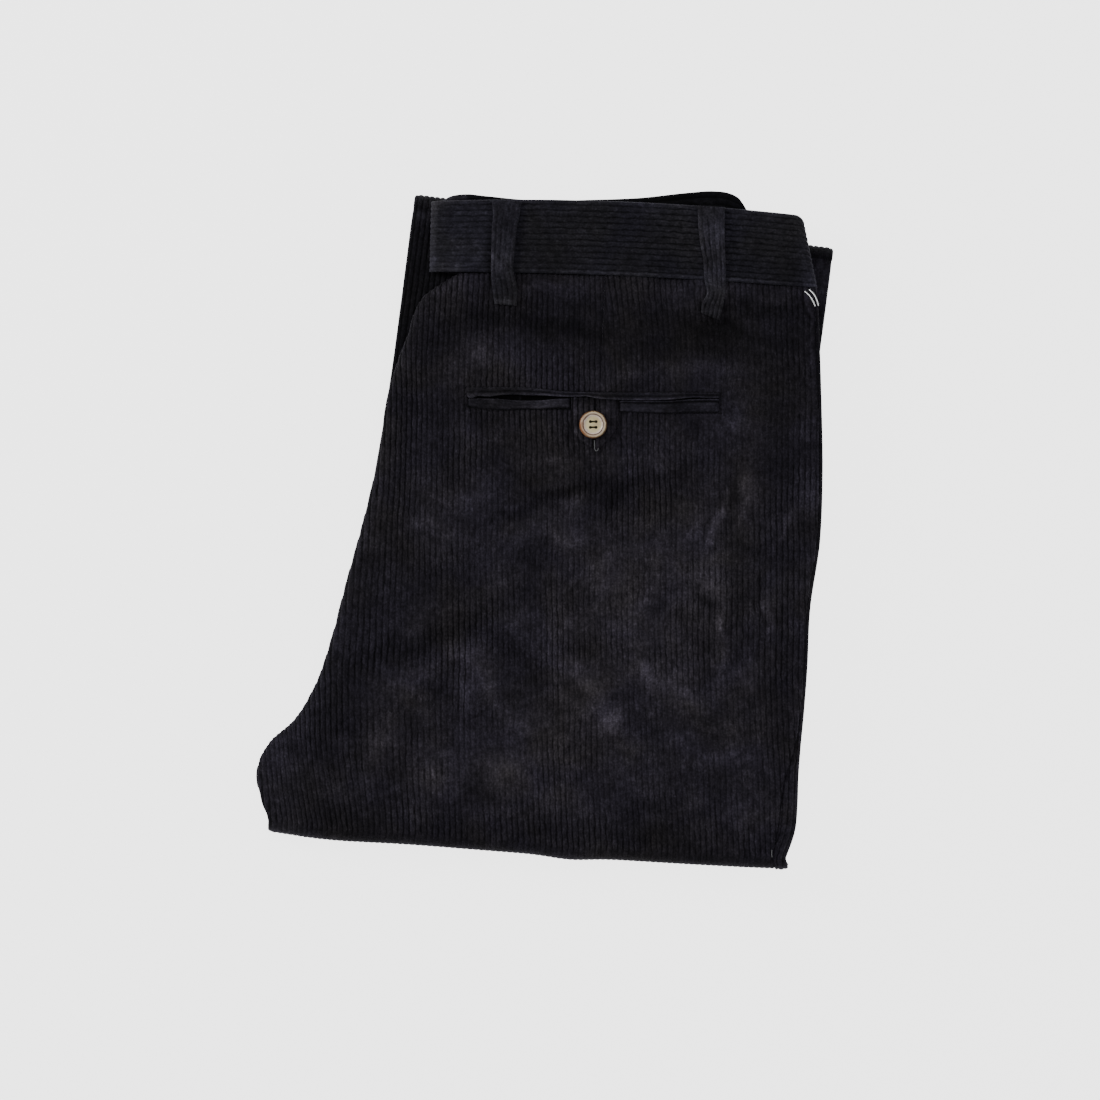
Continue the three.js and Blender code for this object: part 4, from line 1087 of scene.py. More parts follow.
def right_front():
    seat = down_seat(4.0)
    tuck = one_row(moved(LOWER, LOWER_OUT, -TUCK), upz=-1.0, belly=1.0)
    rows = join(seat, round_lower_fold(LOWER), tuck)
    on_top = (np.arange(len(rows["lx"])) < len(seat["lx"]))[:, None]
    r = {key: value[:, None] for key, value in rows.items()}
    length, ex, ey = heading(r)
    half = (PANEL_H - FRONT_LOW) / 2
    quarter = bend_length(FRONT_BEND, half)
    hidden_end = -(quarter + STRIP - FRONT_BEND)
    lip = r["seam"] - SEAM_GAP
    lip_u = np.where(lip < FRONT_BEND, quarter * 2 / math.pi * np.arccos(
        np.clip(1 - lip / FRONT_BEND, -1, 1)), quarter + lip - FRONT_BEND)
    wales = wale_columns(*FRONT_WALES)[::-1]
    u = np.clip(wales[None, :] * PITCH, hidden_end, lip_u)

    def at(depth):
        """Points round the side: u is nought at its outermost line, and grows upwards."""
        angle = np.clip(np.abs(u) / quarter, 0, 1) * math.pi / 2
        d = FRONT_BEND * (1 - np.cos(angle)) + np.maximum(0, np.abs(u) - quarter)
        up = np.sign(u) * half * np.sin(angle)
        nd, nh = -half * np.cos(angle), FRONT_BEND * np.sin(angle) * np.sign(u)
        size = np.hypot(nd, nh)
        d = d - depth * nd / size
        h = FRONT_LOW + half + up - depth * nh / size
        share = 1 - d / length
        x = r["lx"] + ex * (length - d)
        plain_y = r["ly"] + ey * (length - d)
        y = plain_y + r["bow"] * 4 * share * (1 - share) - r["belly"] * belly(x)
        h = h + np.where(on_top, np.clip(u / quarter, 0, 1) * seat_relief(x, y), 0)
        z = r["base"] + r["upz"] * h - sag_at(x, plain_y, r["waist"])
        return np.stack([x + r["upx"] * h, y + r["upy"] * h, z], axis=-1)

    outer = at(0.0)
    match = every(4, wales)
    inner = at(FRONT_THICK)[:, match]
    lift = (u < lip_u - 0.2) & (u > hidden_end + 0.2)
    # Painted shade: a little darker all over, darker where the strip turns down and under, and in a
    # line along its seam with the back. The waves are random tone.
    tone = 0.9 * waves(outer[..., 0] * 2, outer[..., 1]) - 0.3 - 0.9 * (u < 0.3 * quarter)
    tone = tone - 0.8 * np.exp(-((lip_u - u) / 0.9) ** 2)
    along = ROW_LENGTH * np.arange(len(u))[:, None]
    piece = cloth_wall("right_front", outer, inner, match, wales, along, lift, tone)
    return raise_wales(piece, WALE_HEIGHT, 0.5, 2.0, PANEL_CORDUROY)


right_front_piece = right_front()
print("right front faces:", len(right_front_piece.data.polygons))

# %% [markdown]
# ## Left back
#
# The left back leg shows past the seat at the top left and the top right, goes round the knee fold
# and is the whole underside. Its wales keep their distance from the middle of the leg. Its pile
# runs away from the light and it lies in the shadow of the seat, so it looks almost black; both
# are painted into its colour as shade.

# %% Left back
LEG_ROLL = 2.0
FLAT_H = 6.85  # so that the crests of the wales touch the floor
LEG_WALES = (-41, 41)
SHADED_SIDE, PALE_SIDE = -0.9, 1.35


def left_back():
    ends = dict(base=KNEE_AXIS_Z, waist=0.0, lw=LEG_ROLL, ld=LEG_THICK, rw=LEG_ROLL, rd=LEG_THICK)
    leg = sections([HEM, KNEE], 12.0, upz=-1.0, h=FLAT_H, sags=0.0, **ends)
    angles = np.arange(180, -1, -12)
    bend = fold(KNEE, KNEE_OUT, angles, sags=0.0, **ends)
    bend["h"] = FLAT_H + (LEG_TOP_H - FLAT_H) * np.clip((180 - angles) / 40.0, 0, 1)
    thigh = sections(THIGHS[2:][::-1], 5.0, h=LEG_TOP_H, **ends)
    rows = join(leg, bend, thigh)
    wales = wale_columns(*LEG_WALES)
    t, inside = trimmed(rows, heading(rows)[0][:, None] / 2 + wales[None, :] * PITCH)
    on_top = (np.arange(len(rows["lx"])) >= len(leg["lx"]) + len(bend["lx"]))[:, None]

    def relief(x, y):
        return np.where(on_top, 0.8 * waves(x, y), 0.0)

    outer = lay(rows, t, relief)
    match = every(2 * len(PHASES), wales)
    inner = lay(rows, t[:, match], relief, LEG_THICK - 0.2)
    x, y = outer[..., 0], outer[..., 1]
    # Painted shade: darker left of x = 60, under the seat's overhang, and paler right of it; round
    # the knee fold and underneath it takes one darker tone.
    tone = np.where(x > 60, PALE_SIDE, SHADED_SIDE) + 0.5 * waves(x * 2, y)
    corner = np.exp(-((x + 66) / 9) ** 2) * (y > 176)
    tone = np.where(on_top, tone + 1.4 * corner, -0.5)
    along = ROW_LENGTH * (1 + np.arange(len(t))[:, None])
    piece = cloth_wall("left_back", outer, inner, match, wales, along, inside, tone)
    return raise_wales(piece, WALE_HEIGHT, 0.4, 3.0, DARK_CORDUROY)


left_back_piece = left_back()
print("left back faces:", len(left_back_piece.data.polygons))

# %% [markdown]
# ## Hidden layers
#
# Between these lie the fronts and the rest of the backs. Only their edges show, as soft rolls one
# above the other, so each leg is made as one flat tube that runs through both folds. A top and a
# bottom are laid over the same rows, and their rolled sides meet.

# %% Way of the hidden layers
KNEE_FROM_SEAT = SEAT_AXIS_Z - KNEE_AXIS_Z
BAND_LOW = dict(lx=-64.5, ly=145.6, rx=153.5, ry=136.4, bow=2.2)
BAND_HIGH = dict(lx=-63.5, ly=185.0, rx=146.0, ry=177.0, bow=4.0)
EDGE_WALES = 14  # how many wales each side of a hidden tube has
EDGE_PHASES = np.array([0.0, 0.15, 0.5, 0.85])
PLY_GAP = 0.35  # the tubes lie this much further in than the cloth round them


def band_line(share, lifted):
    """A line along the waistband: share is 0 at its lower edge and 1 at its upper one."""
    line = {key: BAND_LOW[key] + (BAND_HIGH[key] - BAND_LOW[key]) * share for key in BAND_LOW}
    return moved(line, (0, 1), lifted)


def inset(rows, left, right):
    """The same sections with their ends moved in by left and right."""
    _, ex, ey = heading(rows)
    return dict(rows, lx=rows["lx"] + ex * left, ly=rows["ly"] + ey * left,
                rx=rows["rx"] - ex * right, ry=rows["ry"] - ey * right)


def leg_stretches():
    """The way of one leg through both folds, as named runs of sections."""
    below = dict(upz=-1.0, waist=0.0)
    lower_leg = dict(base=KNEE_AXIS_Z, sign=-1.0, start=KNEE_FROM_SEAT, sags=0.0, waist=0.0)
    tuck = moved(LOWER, LOWER_OUT, -(TUCK + PLY_GAP))
    start = moved(KNEE, KNEE_OUT, -0.5)
    return [
        ("band", sections([band_line(1, -1.2), band_line(0, 0.1)], 8.0)),
        ("seat", down_seat(10.0)),
        ("fold", round_lower_fold(LOWER)),
        ("fold", sections([LOWER, tuck], 6.0, belly=1.0, **below)),
        ("thigh", sections([tuck] + THIGHS[:2], 10.0, **below)),
        ("leg", sections(THIGHS[2:-1] + [start], 10.0, **below)),
        ("leg", fold(KNEE, KNEE_OUT, np.arange(0, 181, 15), **lower_leg)),
        ("leg", sections([KNEE, moved(HEM, (0, 1), 1.6)], 10.0, upz=-1.0, **lower_leg)),
    ]


print("stretches of a leg:", [name for name, _ in leg_stretches()])

# %% Hidden layers
def leg_tube(name, levels, seed):
    """One leg's hidden plies. levels gives, for each stretch, its h from and to and its insets."""
    low_runs, high_runs = [], []
    for key, rows in leg_stretches():
        low, high, left, right = levels[key]
        half = (high - low) / 2
        for runs, h, roll in ((high_runs, high, half), (low_runs, low, -half)):
            runs.append(plain_rows(len(rows["lx"]), **{
                **inset(rows, left, right), "h": h, "lw": half * 1.1, "rw": half * 1.1,
                "ld": roll, "rd": roll}))
    high_rows, low_rows = join(*high_runs), join(*low_runs)
    near = wale_columns(0, EDGE_WALES, EDGE_PHASES)
    start, end = (edge[:, None] for edge in over(high_rows))
    middle = np.linspace(0, 1, 8)[1:-1]
    left_t = start + near[None, :] * PITCH
    right_t = end - near[None, ::-1] * PITCH
    between = left_t[:, -1:] + (right_t[:, :1] - left_t[:, -1:]) * middle[None, :]
    t = np.concatenate([left_t, between, right_t], axis=1)
    wander = np.random.default_rng(seed).normal(size=(6, 2))

    def relief(x, y):
        slow = sum(a * np.sin(y / (14 + 5 * k) + b * 6) for k, (a, b) in enumerate(wander))
        return 0.07 * slow + 0 * x

    top, bottom = lay(high_rows, t, relief), lay(low_rows, t, relief)
    wales = np.concatenate([near, np.full(len(middle), EDGE_WALES), EDGE_WALES + near[::-1]])
    lift = np.concatenate([np.ones(len(near)), np.zeros(len(middle)), np.ones(len(near))])
    along = ROW_LENGTH * np.arange(len(t))[:, None]
    tone = -0.45 + 1.6 * np.clip((top[..., 0] - 138) / 6, 0, 1) * (top[..., 1] > 20)
    piece = cloth_wall(name, top, bottom, every(1, wales), wales, along, lift, tone, lift)
    return raise_wales(piece, 0.4, 0.4, float(seed), DARK_CORDUROY)


# Each stretch: h of its lower and of its upper side, and how far its left and right ends are in.
right_layers = leg_tube("right_leg_layers", {
    "band": (4.35, 5.6, 6.0, 6.0), "seat": (3.45, 4.95, 5.4, 9.4), "fold": (3.45, 4.95, 3.4, 9.4),
    "thigh": (4.35, 7.5, 0.2, 0.4), "leg": (4.35, 7.5, 0.2, 0.4)}, 4)
left_layers = leg_tube("left_leg_layers", {
    "band": (2.95, 4.1, 6.0, 3.5), "seat": (0.35, 3.2, 0.6, 1.8), "fold": (0.35, 3.2, 1.0, 1.8),
    "thigh": (0.35, 4.1, 0.8, 0.8), "leg": (2.65, 4.1, 0.8, 0.8)}, 5)
print("hidden layers faces:", len(right_layers.data.polygons), len(left_layers.data.polygons))

# %% [markdown]
# ## Waistband
#
# The waistband is cut with its wales running round the body. It is stiffened, so it keeps a firm
# round edge. Here the sections go up its height and the rows run along it, and at both ends it
# turns down over the fold.

# %% Shape of the waistband
BAND_WALES = 13
BAND_H = 8.9
BAND_THICK = 2.2
BAND_ROLL = 1.3
BAND_ENDS = ((5.0, 6.0), (5.0, 4.4))  # width and depth of the turn at the left and the right end


def over_ends(length, left, right, step):
    """Places along a band that turns down at its ends: distance, drop, and the normal there."""
    def turned(angle, size):
        w, d = size
        n = np.array([d * math.sin(angle), w * math.cos(angle)])
        return w * (1 - math.sin(angle)), d * (1 - math.cos(angle)), *(n / np.hypot(*n))

    angles = np.radians(np.linspace(90, 0, 7)[:-1])
    places = []
    for far, drop, nx, nz in (turned(angle, left) for angle in angles):
        places.append((far, drop, -nx, nz))
    count = int((length - left[0] - right[0]) / step)
    for x in np.linspace(left[0], length - right[0], count):
        places.append((x, 0.0, 0.0, 1.0))
    for far, drop, nx, nz in (turned(angle, right) for angle in angles[::-1]):
        places.append((length - far, drop, nx, nz))
    return np.array(places)


def band_rows(share, drop, h):
    """Sections of the right waistband, from its lower edge to its upper one."""
    def point(line, f):
        return (line["lx"] + (line["rx"] - line["lx"]) * f,
                line["ly"] + (line["ry"] - line["ly"]) * f + line["bow"] * 4 * f * (1 - f))
    low, high = point(BAND_LOW, share), point(BAND_HIGH, share)
    to_corner = (1 - share) * (BAND_HIGH["rx"] - BAND_HIGH["lx"])
    cut = 4.5 * (1 - np.sqrt(1 - np.clip(1 - to_corner / 5.0, 0, 1) ** 2))
    return plain_rows(len(share), lx=low[0], ly=low[1], rx=high[0], ry=high[1] - cut, h=h - drop,
                      lw=BAND_ROLL, rw=BAND_ROLL, ld=BAND_ROLL, rd=BAND_ROLL)


def band_relief(x, y):
    hump = 0.8 * np.exp(-((x + 44) / 11) ** 2 - ((y - 148) / 7) ** 2)
    return (0.25 * np.sin(x / 13 + y / 21) * np.sin(x / 29 + 1) + 0.12 * np.sin(x / 6.5 + y / 9)
            + hump)


print("waistband, mm:", round(float(heading(BAND_LOW)[0]), 1), "long", BAND_THICK, "thick")

# %% Right half of the waistband
def right_waistband():
    length = heading(BAND_LOW)[0]
    places = over_ends(length, *BAND_ENDS, 4.0)
    outer_rows = band_rows(places[:, 0] / length, places[:, 1], BAND_H)
    inner_at = (places[:, 0] - BAND_THICK * places[:, 2]) / length
    inner_rows = band_rows(inner_at, places[:, 1] - BAND_THICK * (1 - places[:, 3]), BAND_H)
    wales = np.append(wale_columns(0, BAND_WALES), BAND_WALES)
    share = wales[None, :] / BAND_WALES
    outer = lay(outer_rows, spread(outer_rows, share), band_relief)
    match = every(2 * len(PHASES), wales)
    inner = lay(inner_rows, spread(inner_rows, share[:, match]), band_relief, BAND_THICK)
    x, y = outer[..., 0], outer[..., 1]
    from_foot = share * BAND_WALES
    lip = np.exp(-((from_foot - 0.62) / 0.26) ** 2) * np.clip((x + 14) / 8, 0.15, 1)
    left = np.clip((-26 - x) / 4, 0, 1)
    # Painted highlights: pale lines where it rolls over along the lower edge, down both ends and
    # along the upper edge. One wale is paler too.
    tone = 0.3 * left - 0.25 + 1.5 * lip + 0.5 * waves(x * 1.7, y) - 0.15 * np.clip(x / 60, 0, 1)
    tone = tone + 0.7 * np.exp(-((from_foot - 3.3) / 0.3) ** 2) * np.exp(-((x - 2) / 16) ** 2)
    tone = tone + 0.9 * np.exp(-((x - x.max(axis=0) + 3.5) / 3.0) ** 2)
    tone = tone + 0.5 * np.exp(-((x - x.min(axis=0) - 2.0) / 1.5) ** 2)
    tone = tone + 0.5 * np.exp(-((BAND_WALES - 0.7 - from_foot) / 0.35) ** 2)
    tone = tone - 2.2 * beside_loops(x, y)
    piece = cloth_wall("right_waistband", outer, inner, match, wales, x / PITCH, 1.0, tone)
    return raise_wales(piece, WALE_HEIGHT, 0.5, 6.0, BAND_CORDUROY)


right_band_piece = right_waistband()
print("right half faces:", len(right_band_piece.data.polygons))

# %% Left half of the waistband
LOW_BAND = [  # upper edge of the left half, which lies below and shows past the right half
    (-60, 184), (-53, 188.3), (-46, 189.5), (-33.5, 188.5), (-13.5, 186.5), (31.5, 186.5),
    (54, 187.5), (81.5, 190.5), (95.5, 191.4), (104, 190.3), (110, 187), (115, 179),
]
LOW_BAND_H = 1.9
LOW_BAND_END_H = 0.9
LOW_BAND_INSIDE_H = 0.2


def left_waistband():
    edge = np.array(LOW_BAND, float)
    x = np.unique(np.concatenate([np.linspace(edge[0, 0], edge[-1, 0], 60), edge[:, 0]]))
    y = curve(edge[:, 0], edge[:, 1], x)
    foot = 148.5 - 0.0445 * (x - BAND_LOW["lx"])
    from_end = np.minimum(x - x[0], x[-1] - x)
    turn = np.sqrt(1 - np.clip(1 - from_end / 2.0, 0, 1) ** 2)
    rows = plain_rows(len(x), lx=x, ly=foot, rx=x, ry=y, lw=0.8, rw=0.8, ld=0.8, rd=0.8,
                      h=LOW_BAND_END_H + (LOW_BAND_H - LOW_BAND_END_H) * turn)
    wales = np.append(wale_columns(0, BAND_WALES), BAND_WALES)
    t = spread(rows, wales[None, :] / BAND_WALES)
    outer = lay(rows, t)
    match = every(2 * len(PHASES), wales)
    inner = lay(flattened(rows, LOW_BAND_INSIDE_H, "lw ld rw rd"), np.clip(t[:, match], 0.2, None))
    # Painted shadow: dark where it lies under the overhang of the right half, paler at its left end.
    tone = np.where(outer[..., 0] < -43, 1.0, -3.6)
    piece = cloth_wall("left_waistband", outer, inner, match, wales, outer[..., 0] / PITCH, 1.0,
                       tone)
    return raise_wales(piece, 0.4, 0.4, 7.0, BAND_CORDUROY)


left_band_piece = left_waistband()
print("left half faces:", len(left_band_piece.data.polygons))

# %% [markdown]
# ## Belt loops
#
# A belt loop is a narrow strip, turned in at both sides and sewn across the waistband. It is only
# fixed at its ends, so it stands a little off the band, and it never lies quite straight.

# %% Belt loops
LOOP_WALES = 5
LOOP_THICK = 1.3


def belt_loop(name, table, seed):
    rows = sections(table, 1.2, lw=1.0, ld=0.9, rw=1.0, rd=0.9)
    wales = np.append(wale_columns(0, LOOP_WALES), LOOP_WALES)
    share = wales[None, :] / LOOP_WALES
    t = spread(rows, share)
    foot, head = table[-1]["ly"], table[0]["ly"]

    def relief(x, y):
        crumple = np.exp(-((y - foot - 5) / 6) ** 2)
        tack = np.exp(-((y - foot - 3.2) / 1.2) ** 2)
        return (0.12 * np.sin(y / 3.1 + x / 2 + seed) + 0.1 * np.sin(y / 7 + seed)
                + crumple * 0.3 * np.sin(y / 1.7 + x / 2.5) - 0.45 * tack)

    outer = lay(rows, t, relief)
    match = every(len(PHASES), wales)
    inner = lay(rows, t[:, match], relief, LOOP_THICK)
    x, y = outer[..., 0], outer[..., 1]
    # Painted highlights on the rolled sides and on the middle, where the loop stands highest off the
    # band. A dark line runs down the middle of the foot, the foot and the end are paler, and it is a
    # little darker some way below the top.
    below = np.exp(-((y - foot - 8) / 5) ** 4)
    sides = np.exp(-((share - 0.07) / 0.05) ** 2) + np.exp(-((share - 0.95) / 0.05) ** 2)
    sides = sides * (1 + 1.4 * below)
    middle = np.exp(-((share - 0.62) / 0.2) ** 2) * np.exp(-((y - 160) / 13) ** 2)
    middle = middle - 1.3 * below * np.exp(-((share - 0.5) / 0.13) ** 2)
    end = np.exp(-((y - foot - 1.4) / 1.6) ** 2)
    under_head = np.exp(-((y - head + 12) / 7) ** 2)
    tone = (0.35 * sides + 0.55 * middle + 0.8 * end + 0.35 * below - 0.25 * under_head
            + 0.25 * np.sin(y / 5 + 2 * seed) + 0.2 * np.sin(y / 1.9 + x / 1.3))
    lift = np.clip((head - y) / 18, 0.2, 1)
    piece = cloth_wall(name, outer, inner, match, wales, y / PITCH, lift, tone)
    return raise_wales(piece, WALE_HEIGHT, 0.8, seed, LOOP_CORDUROY)


loop_pieces = {name: belt_loop(name + "_cloth", table, 8.0 + i)
               for i, (name, table) in enumerate(BELT_LOOPS.items())}
print("belt loops:", list(loop_pieces))

# %% [markdown]
# ## Back pocket
#
# A welt pocket is a slit with a folded lip above it and another below. Each lip is a strip with one
# or two wales lengthwise. A strap with a mitred point comes out of the mouth and takes the button.

# %% Sizes of the pocket
POCKET_LIFT = PANEL_H + 0.2
WELTS = {  # x, and y of the upper and of the lower edge there, from left to right
    "pocket_welt_upper": [
        (-44.2, 80.6, 76.2), (-42.0, 80.6, 74.2), (-38.0, 80.6, 75.4), (-31.0, 80.5, 75.2),
        (-26.0, 80.5, 75.9), (-20.0, 80.4, 76.4), (-9.0, 80.3, 76.0), (0.6, 79.4, 75.8),
        (9.6, 78.3, 75.2), (17.5, 77.9, 75.1), (23.0, 77.8, 75.4), (30.5, 77.6, 74.1),
        (40.7, 77.5, 73.4), (54.0, 77.6, 73.1), (65.5, 77.6, 73.3), (75.7, 77.6, 73.9),
        (83.0, 77.5, 74.8), (94.0, 77.4, 74.5), (98.6, 77.3, 74.6),
    ],
    "pocket_welt_lower_back": [
        (-43.4, 74.0, 70.6), (-40.0, 74.2, 69.0), (-33.0, 74.2, 68.2), (-26.0, 74.0, 67.7),
        (-20.0, 73.4, 67.9), (-12.0, 73.0, 68.4), (-2.0, 73.2, 68.1), (5.0, 73.8, 68.8),
        (10.0, 74.1, 68.9), (15.4, 74.3, 68.4),
    ],
    "pocket_welt_lower_side": [
        (42.2, 72.9, 66.9), (50.0, 72.8, 66.6), (60.0, 72.8, 66.2), (72.0, 73.0, 66.0),
        (80.0, 73.6, 66.3), (90.0, 74.0, 66.4), (98.8, 74.0, 66.3),
    ],
}
# How high a welt stands, and its lips and grooves: the share of its height, strength and width.
# A lip is raised and painted pale, a painted highlight; a groove is sunk and painted dark, a painted
# shadow line.
WELT_LOOKS = {
    "pocket_welt_upper": dict(
        h=1.35, lips=[(0.2, 1.6, 0.13)], grooves=[(0.5, 0.8, 0.1), (0.93, 1.4, 0.1)]),
    "pocket_welt_lower_back": dict(
        h=0.75, lips=[(0.85, 0.4, 0.1)], grooves=[(0.08, 1.8, 0.1)]),
    "pocket_welt_lower_side": dict(
        h=0.95, lips=[(0.86, 0.9, 0.07)], grooves=[(0.73, 2.0, 0.06), (0.06, 1.8, 0.08)]),
}
WELT_WALES = 2
WELT_SHARES = np.unique(np.concatenate([np.linspace(0, 1, 21), [0.03, 0.97]]))
TAB = table_of(
    "lx rx ly ry",
    (15.4, 41.8, 74.6, 74.2), (15.6, 41.6, 66.0, 65.6), (15.8, 41.3, 58.5, 58.0),
    (16.8, 39.0, 54.4, 54.0), (20.0, 35.8, 50.8, 50.5), (24.6, 32.6, 47.6, 47.4),
    (28.4, 30.2, 44.9, 44.8),
)
TAB_SLIT = 28.3  # x of the buttonhole, which leans a little
SLIT_LEAN = 0.05
SLIT_MIDDLE = 62
SLIT_END = 46
print("welts:", list(WELTS))

# %% Welts
def bells(share, spots):
    """The sum of narrow bells at the given shares."""
    return sum(much * np.exp(-((share - at) / wide) ** 2) for at, much, wide in spots)


def welt(name, seed):
    table, looks = np.array(WELTS[name]), WELT_LOOKS[name]
    x = np.arange(table[0, 0], table[-1, 0], 1.2)
    high, low = (curve(table[:, 0], table[:, k], x) for k in (1, 2))
    from_end = np.minimum(x - x[0], x[-1] - x)
    turn = np.sqrt(1 - np.clip(1 - from_end / 1.6, 0, 1) ** 2)
    h = POCKET_LIFT - 0.4 + (looks["h"] + 0.4) * turn
    drop = np.maximum(0.1, h - POCKET_LIFT + 0.6)
    rows = plain_rows(len(x), lx=x, ly=low, rx=x, ry=high, h=h, lw=0.55, rw=0.55, ld=drop, rd=drop)
    share = WELT_SHARES[None, :]
    grooves, lips = bells(share, looks["grooves"]), bells(share, looks["lips"])

    def relief(x, y):
        return 0.1 * np.sin(x / 5 + seed) + 0.4 * (seat_relief(x, y) + 0.5)

    outer = lay(rows, spread(rows, share), relief)
    outer[..., 2] += (0.3 * lips - 0.4 * grooves) * turn[:, None]
    match = [0, len(WELT_SHARES) // 2, len(WELT_SHARES) - 1]
    base = flattened(rows, POCKET_LIFT - 0.7, "lw ld rw rd")
    inner = lay(base, (high - low)[:, None] * share[:, match], relief)
    # Painted highlights on the lips and near the rounded ends, painted shadow in the grooves.
    tone = 0.15 + lips - 1.5 * grooves + 0.3 * np.sin(x / 9 + seed)[:, None]
    tone = tone + 0.6 * np.exp(-((from_end - 1.0) / 0.8) ** 2)[:, None]
    piece = cloth_wall(name + "_cloth", outer, inner, match, share * WELT_WALES,
                       outer[..., 0] / PITCH, 0.3, tone)
    return raise_wales(piece, 0.3, 0.9, seed, WELT_CORDUROY)


WELT_CORDUROY = corduroy("welt corduroy", (0.83, 0.76, 1.0), 0.0108, contrast=0.5, fade=1.2,
                         parting=0.6, blotches=0.8)
welt_pieces = {name: welt(name, 13.0 + i) for i, name in enumerate(WELTS)}
print("welt faces:", [len(piece.data.polygons) for piece in welt_pieces.values()])

# %% Strap
def slit_x(y):
    return TAB_SLIT + SLIT_LEAN * (y - SLIT_MIDDLE)


def pocket_tab():
    rows = sections(TAB, 0.8, h=POCKET_LIFT + 0.65, lw=0.8, ld=1.0, rw=0.8, rd=1.0)
    wales = wale_columns(-5, 5)
    t, inside = trimmed(rows, TAB_SLIT + wales[None, :] * PITCH - rows["lx"][:, None])
    start, end = (edge[:, None] for edge in over(rows))
    from_side = np.minimum(t - start, end - t)

    def slit(x, y):
        return np.exp(-((x - slit_x(y)) / 0.6) ** 2) * (y > SLIT_END)

    def relief(x, y):
        return 0.4 * (seat_relief(x, y) + 0.5) - 0.6 * slit(x, y) + 0.1 * np.sin(y / 3 + x / 5)

    outer = lay(rows, t, relief)
    match = every(len(PHASES), wales)
    inner = lay(flattened(rows, POCKET_LIFT - 0.5, "ld rd"), t[:, match], seat_relief)
    x, y = outer[..., 0], outer[..., 1]
    # Painted light and shade on the strap: shade in the buttonhole's slit, along both edges and under
    # the upper welt at its top, and a highlight a little in from its left edge. It is a little darker
    # all over.
    pale_side = np.exp(-((from_side - 2.2) / 0.9) ** 2) * (x < TAB_SLIT - 0.3)
    tone = -0.6 - 2.5 * slit(x, y) + 0.9 * pale_side
    tone = tone - 1.6 * np.exp(-(from_side / 0.9) ** 2) - 1.5 * np.exp(-((y - 74.0) / 2.2) ** 2)
    piece = cloth_wall("pocket_strap", outer, inner, match, wales, y / PITCH, inside, tone)
    return raise_wales(piece, 0.4, 0.5, 12.0, PANEL_CORDUROY)


tab_piece = pocket_tab()
print("strap faces:", len(tab_piece.data.polygons))

# %% [markdown]
# ## Button
#
# Buttons like this are turned on a lathe from a slice of horn: a raised rim, a step, and a flat
# well with four holes. So the profile is spun round, and four pins are cut out of it. The horn is
# pale in the middle and brown where the slice came from near the skin.

# %% Sizes of the button
BUTTON_LOW, BUTTON_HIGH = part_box("pocket_button")
BUTTON_X = (BUTTON_LOW[0] + BUTTON_HIGH[0]) / 2 / MM
BUTTON_Y = (BUTTON_LOW[1] + BUTTON_HIGH[1]) / 2 / MM
BUTTON_BASE = BUTTON_LOW[2] / MM
BUTTON_PROFILE = [  # radius and height above the cloth
    (0, 0), (6.4, 0), (7.2, 0.35), (7.7, 1.0), (7.85, 1.7), (7.7, 2.3), (7.3, 2.8), (6.8, 3.05),
    (6.35, 3.1), (5.95, 2.95), (5.8, 2.7), (5.65, 2.62), (5.45, 2.8), (5.2, 2.72), (4.8, 2.4),
    (4.2, 2.2), (3.2, 2.12), (0, 2.1),
]
HOLE_RADIUS = 0.85
HOLE_SPREAD = 1.6
BUTTON_WELL = 2.1
BUTTON_SIDES = 96
PIN_SIDES = 20
SHARP = math.radians(40)
# The horn's own colours, with a painted highlight on the raised bead (0.655), painted shade in the
# groove beside it (0.70) and painted shade down the outer side of the rim (0.94).
HORN_AND_LIGHT_RINGS = [  # share of the radius and colour
    (0.0, (0.42, 0.35, 0.16)), (0.45, (0.45, 0.38, 0.19)), (0.60, (0.52, 0.43, 0.32)),
    (0.655, (0.60, 0.51, 0.46)), (0.70, (0.04, 0.025, 0.015)), (0.76, (0.27, 0.20, 0.15)),
    (0.85, (0.40, 0.33, 0.22)), (0.90, (0.20, 0.13, 0.06)), (0.94, (0.04, 0.015, 0.007)),
]
HORN_BROWN = (0.20, 0.085, 0.035, 1)
print("button at, mm:", round(BUTTON_X, 1), round(BUTTON_Y, 1), round(BUTTON_BASE, 1))

# %% Turning
def spin(name, profile, sides):
    """A profile of radius and height, turned round its own axis."""
    work = bmesh.new()
    rings = []
    for radius, height in profile:
        count = 1 if radius == 0 else sides
        turns = [2 * math.pi * k / count for k in range(count)]
        rings.append([work.verts.new((radius * math.cos(turn) * MM, radius * math.sin(turn) * MM,
                                      height * MM)) for turn in turns])
    for lower, upper in zip(rings, rings[1:]):
        for k in range(sides):
            after = (k + 1) % sides
            corners = [lower[k % len(lower)], lower[after % len(lower)],
                       upper[after % len(upper)], upper[k % len(upper)]]
            work.faces.new(list(dict.fromkeys(corners)))
    bmesh.ops.recalc_face_normals(work, faces=work.faces)
    mesh = bpy.data.meshes.new(name)
    work.to_mesh(mesh)
    work.free()
    return add_object(name, mesh)


print("points of the button's profile:", len(BUTTON_PROFILE))

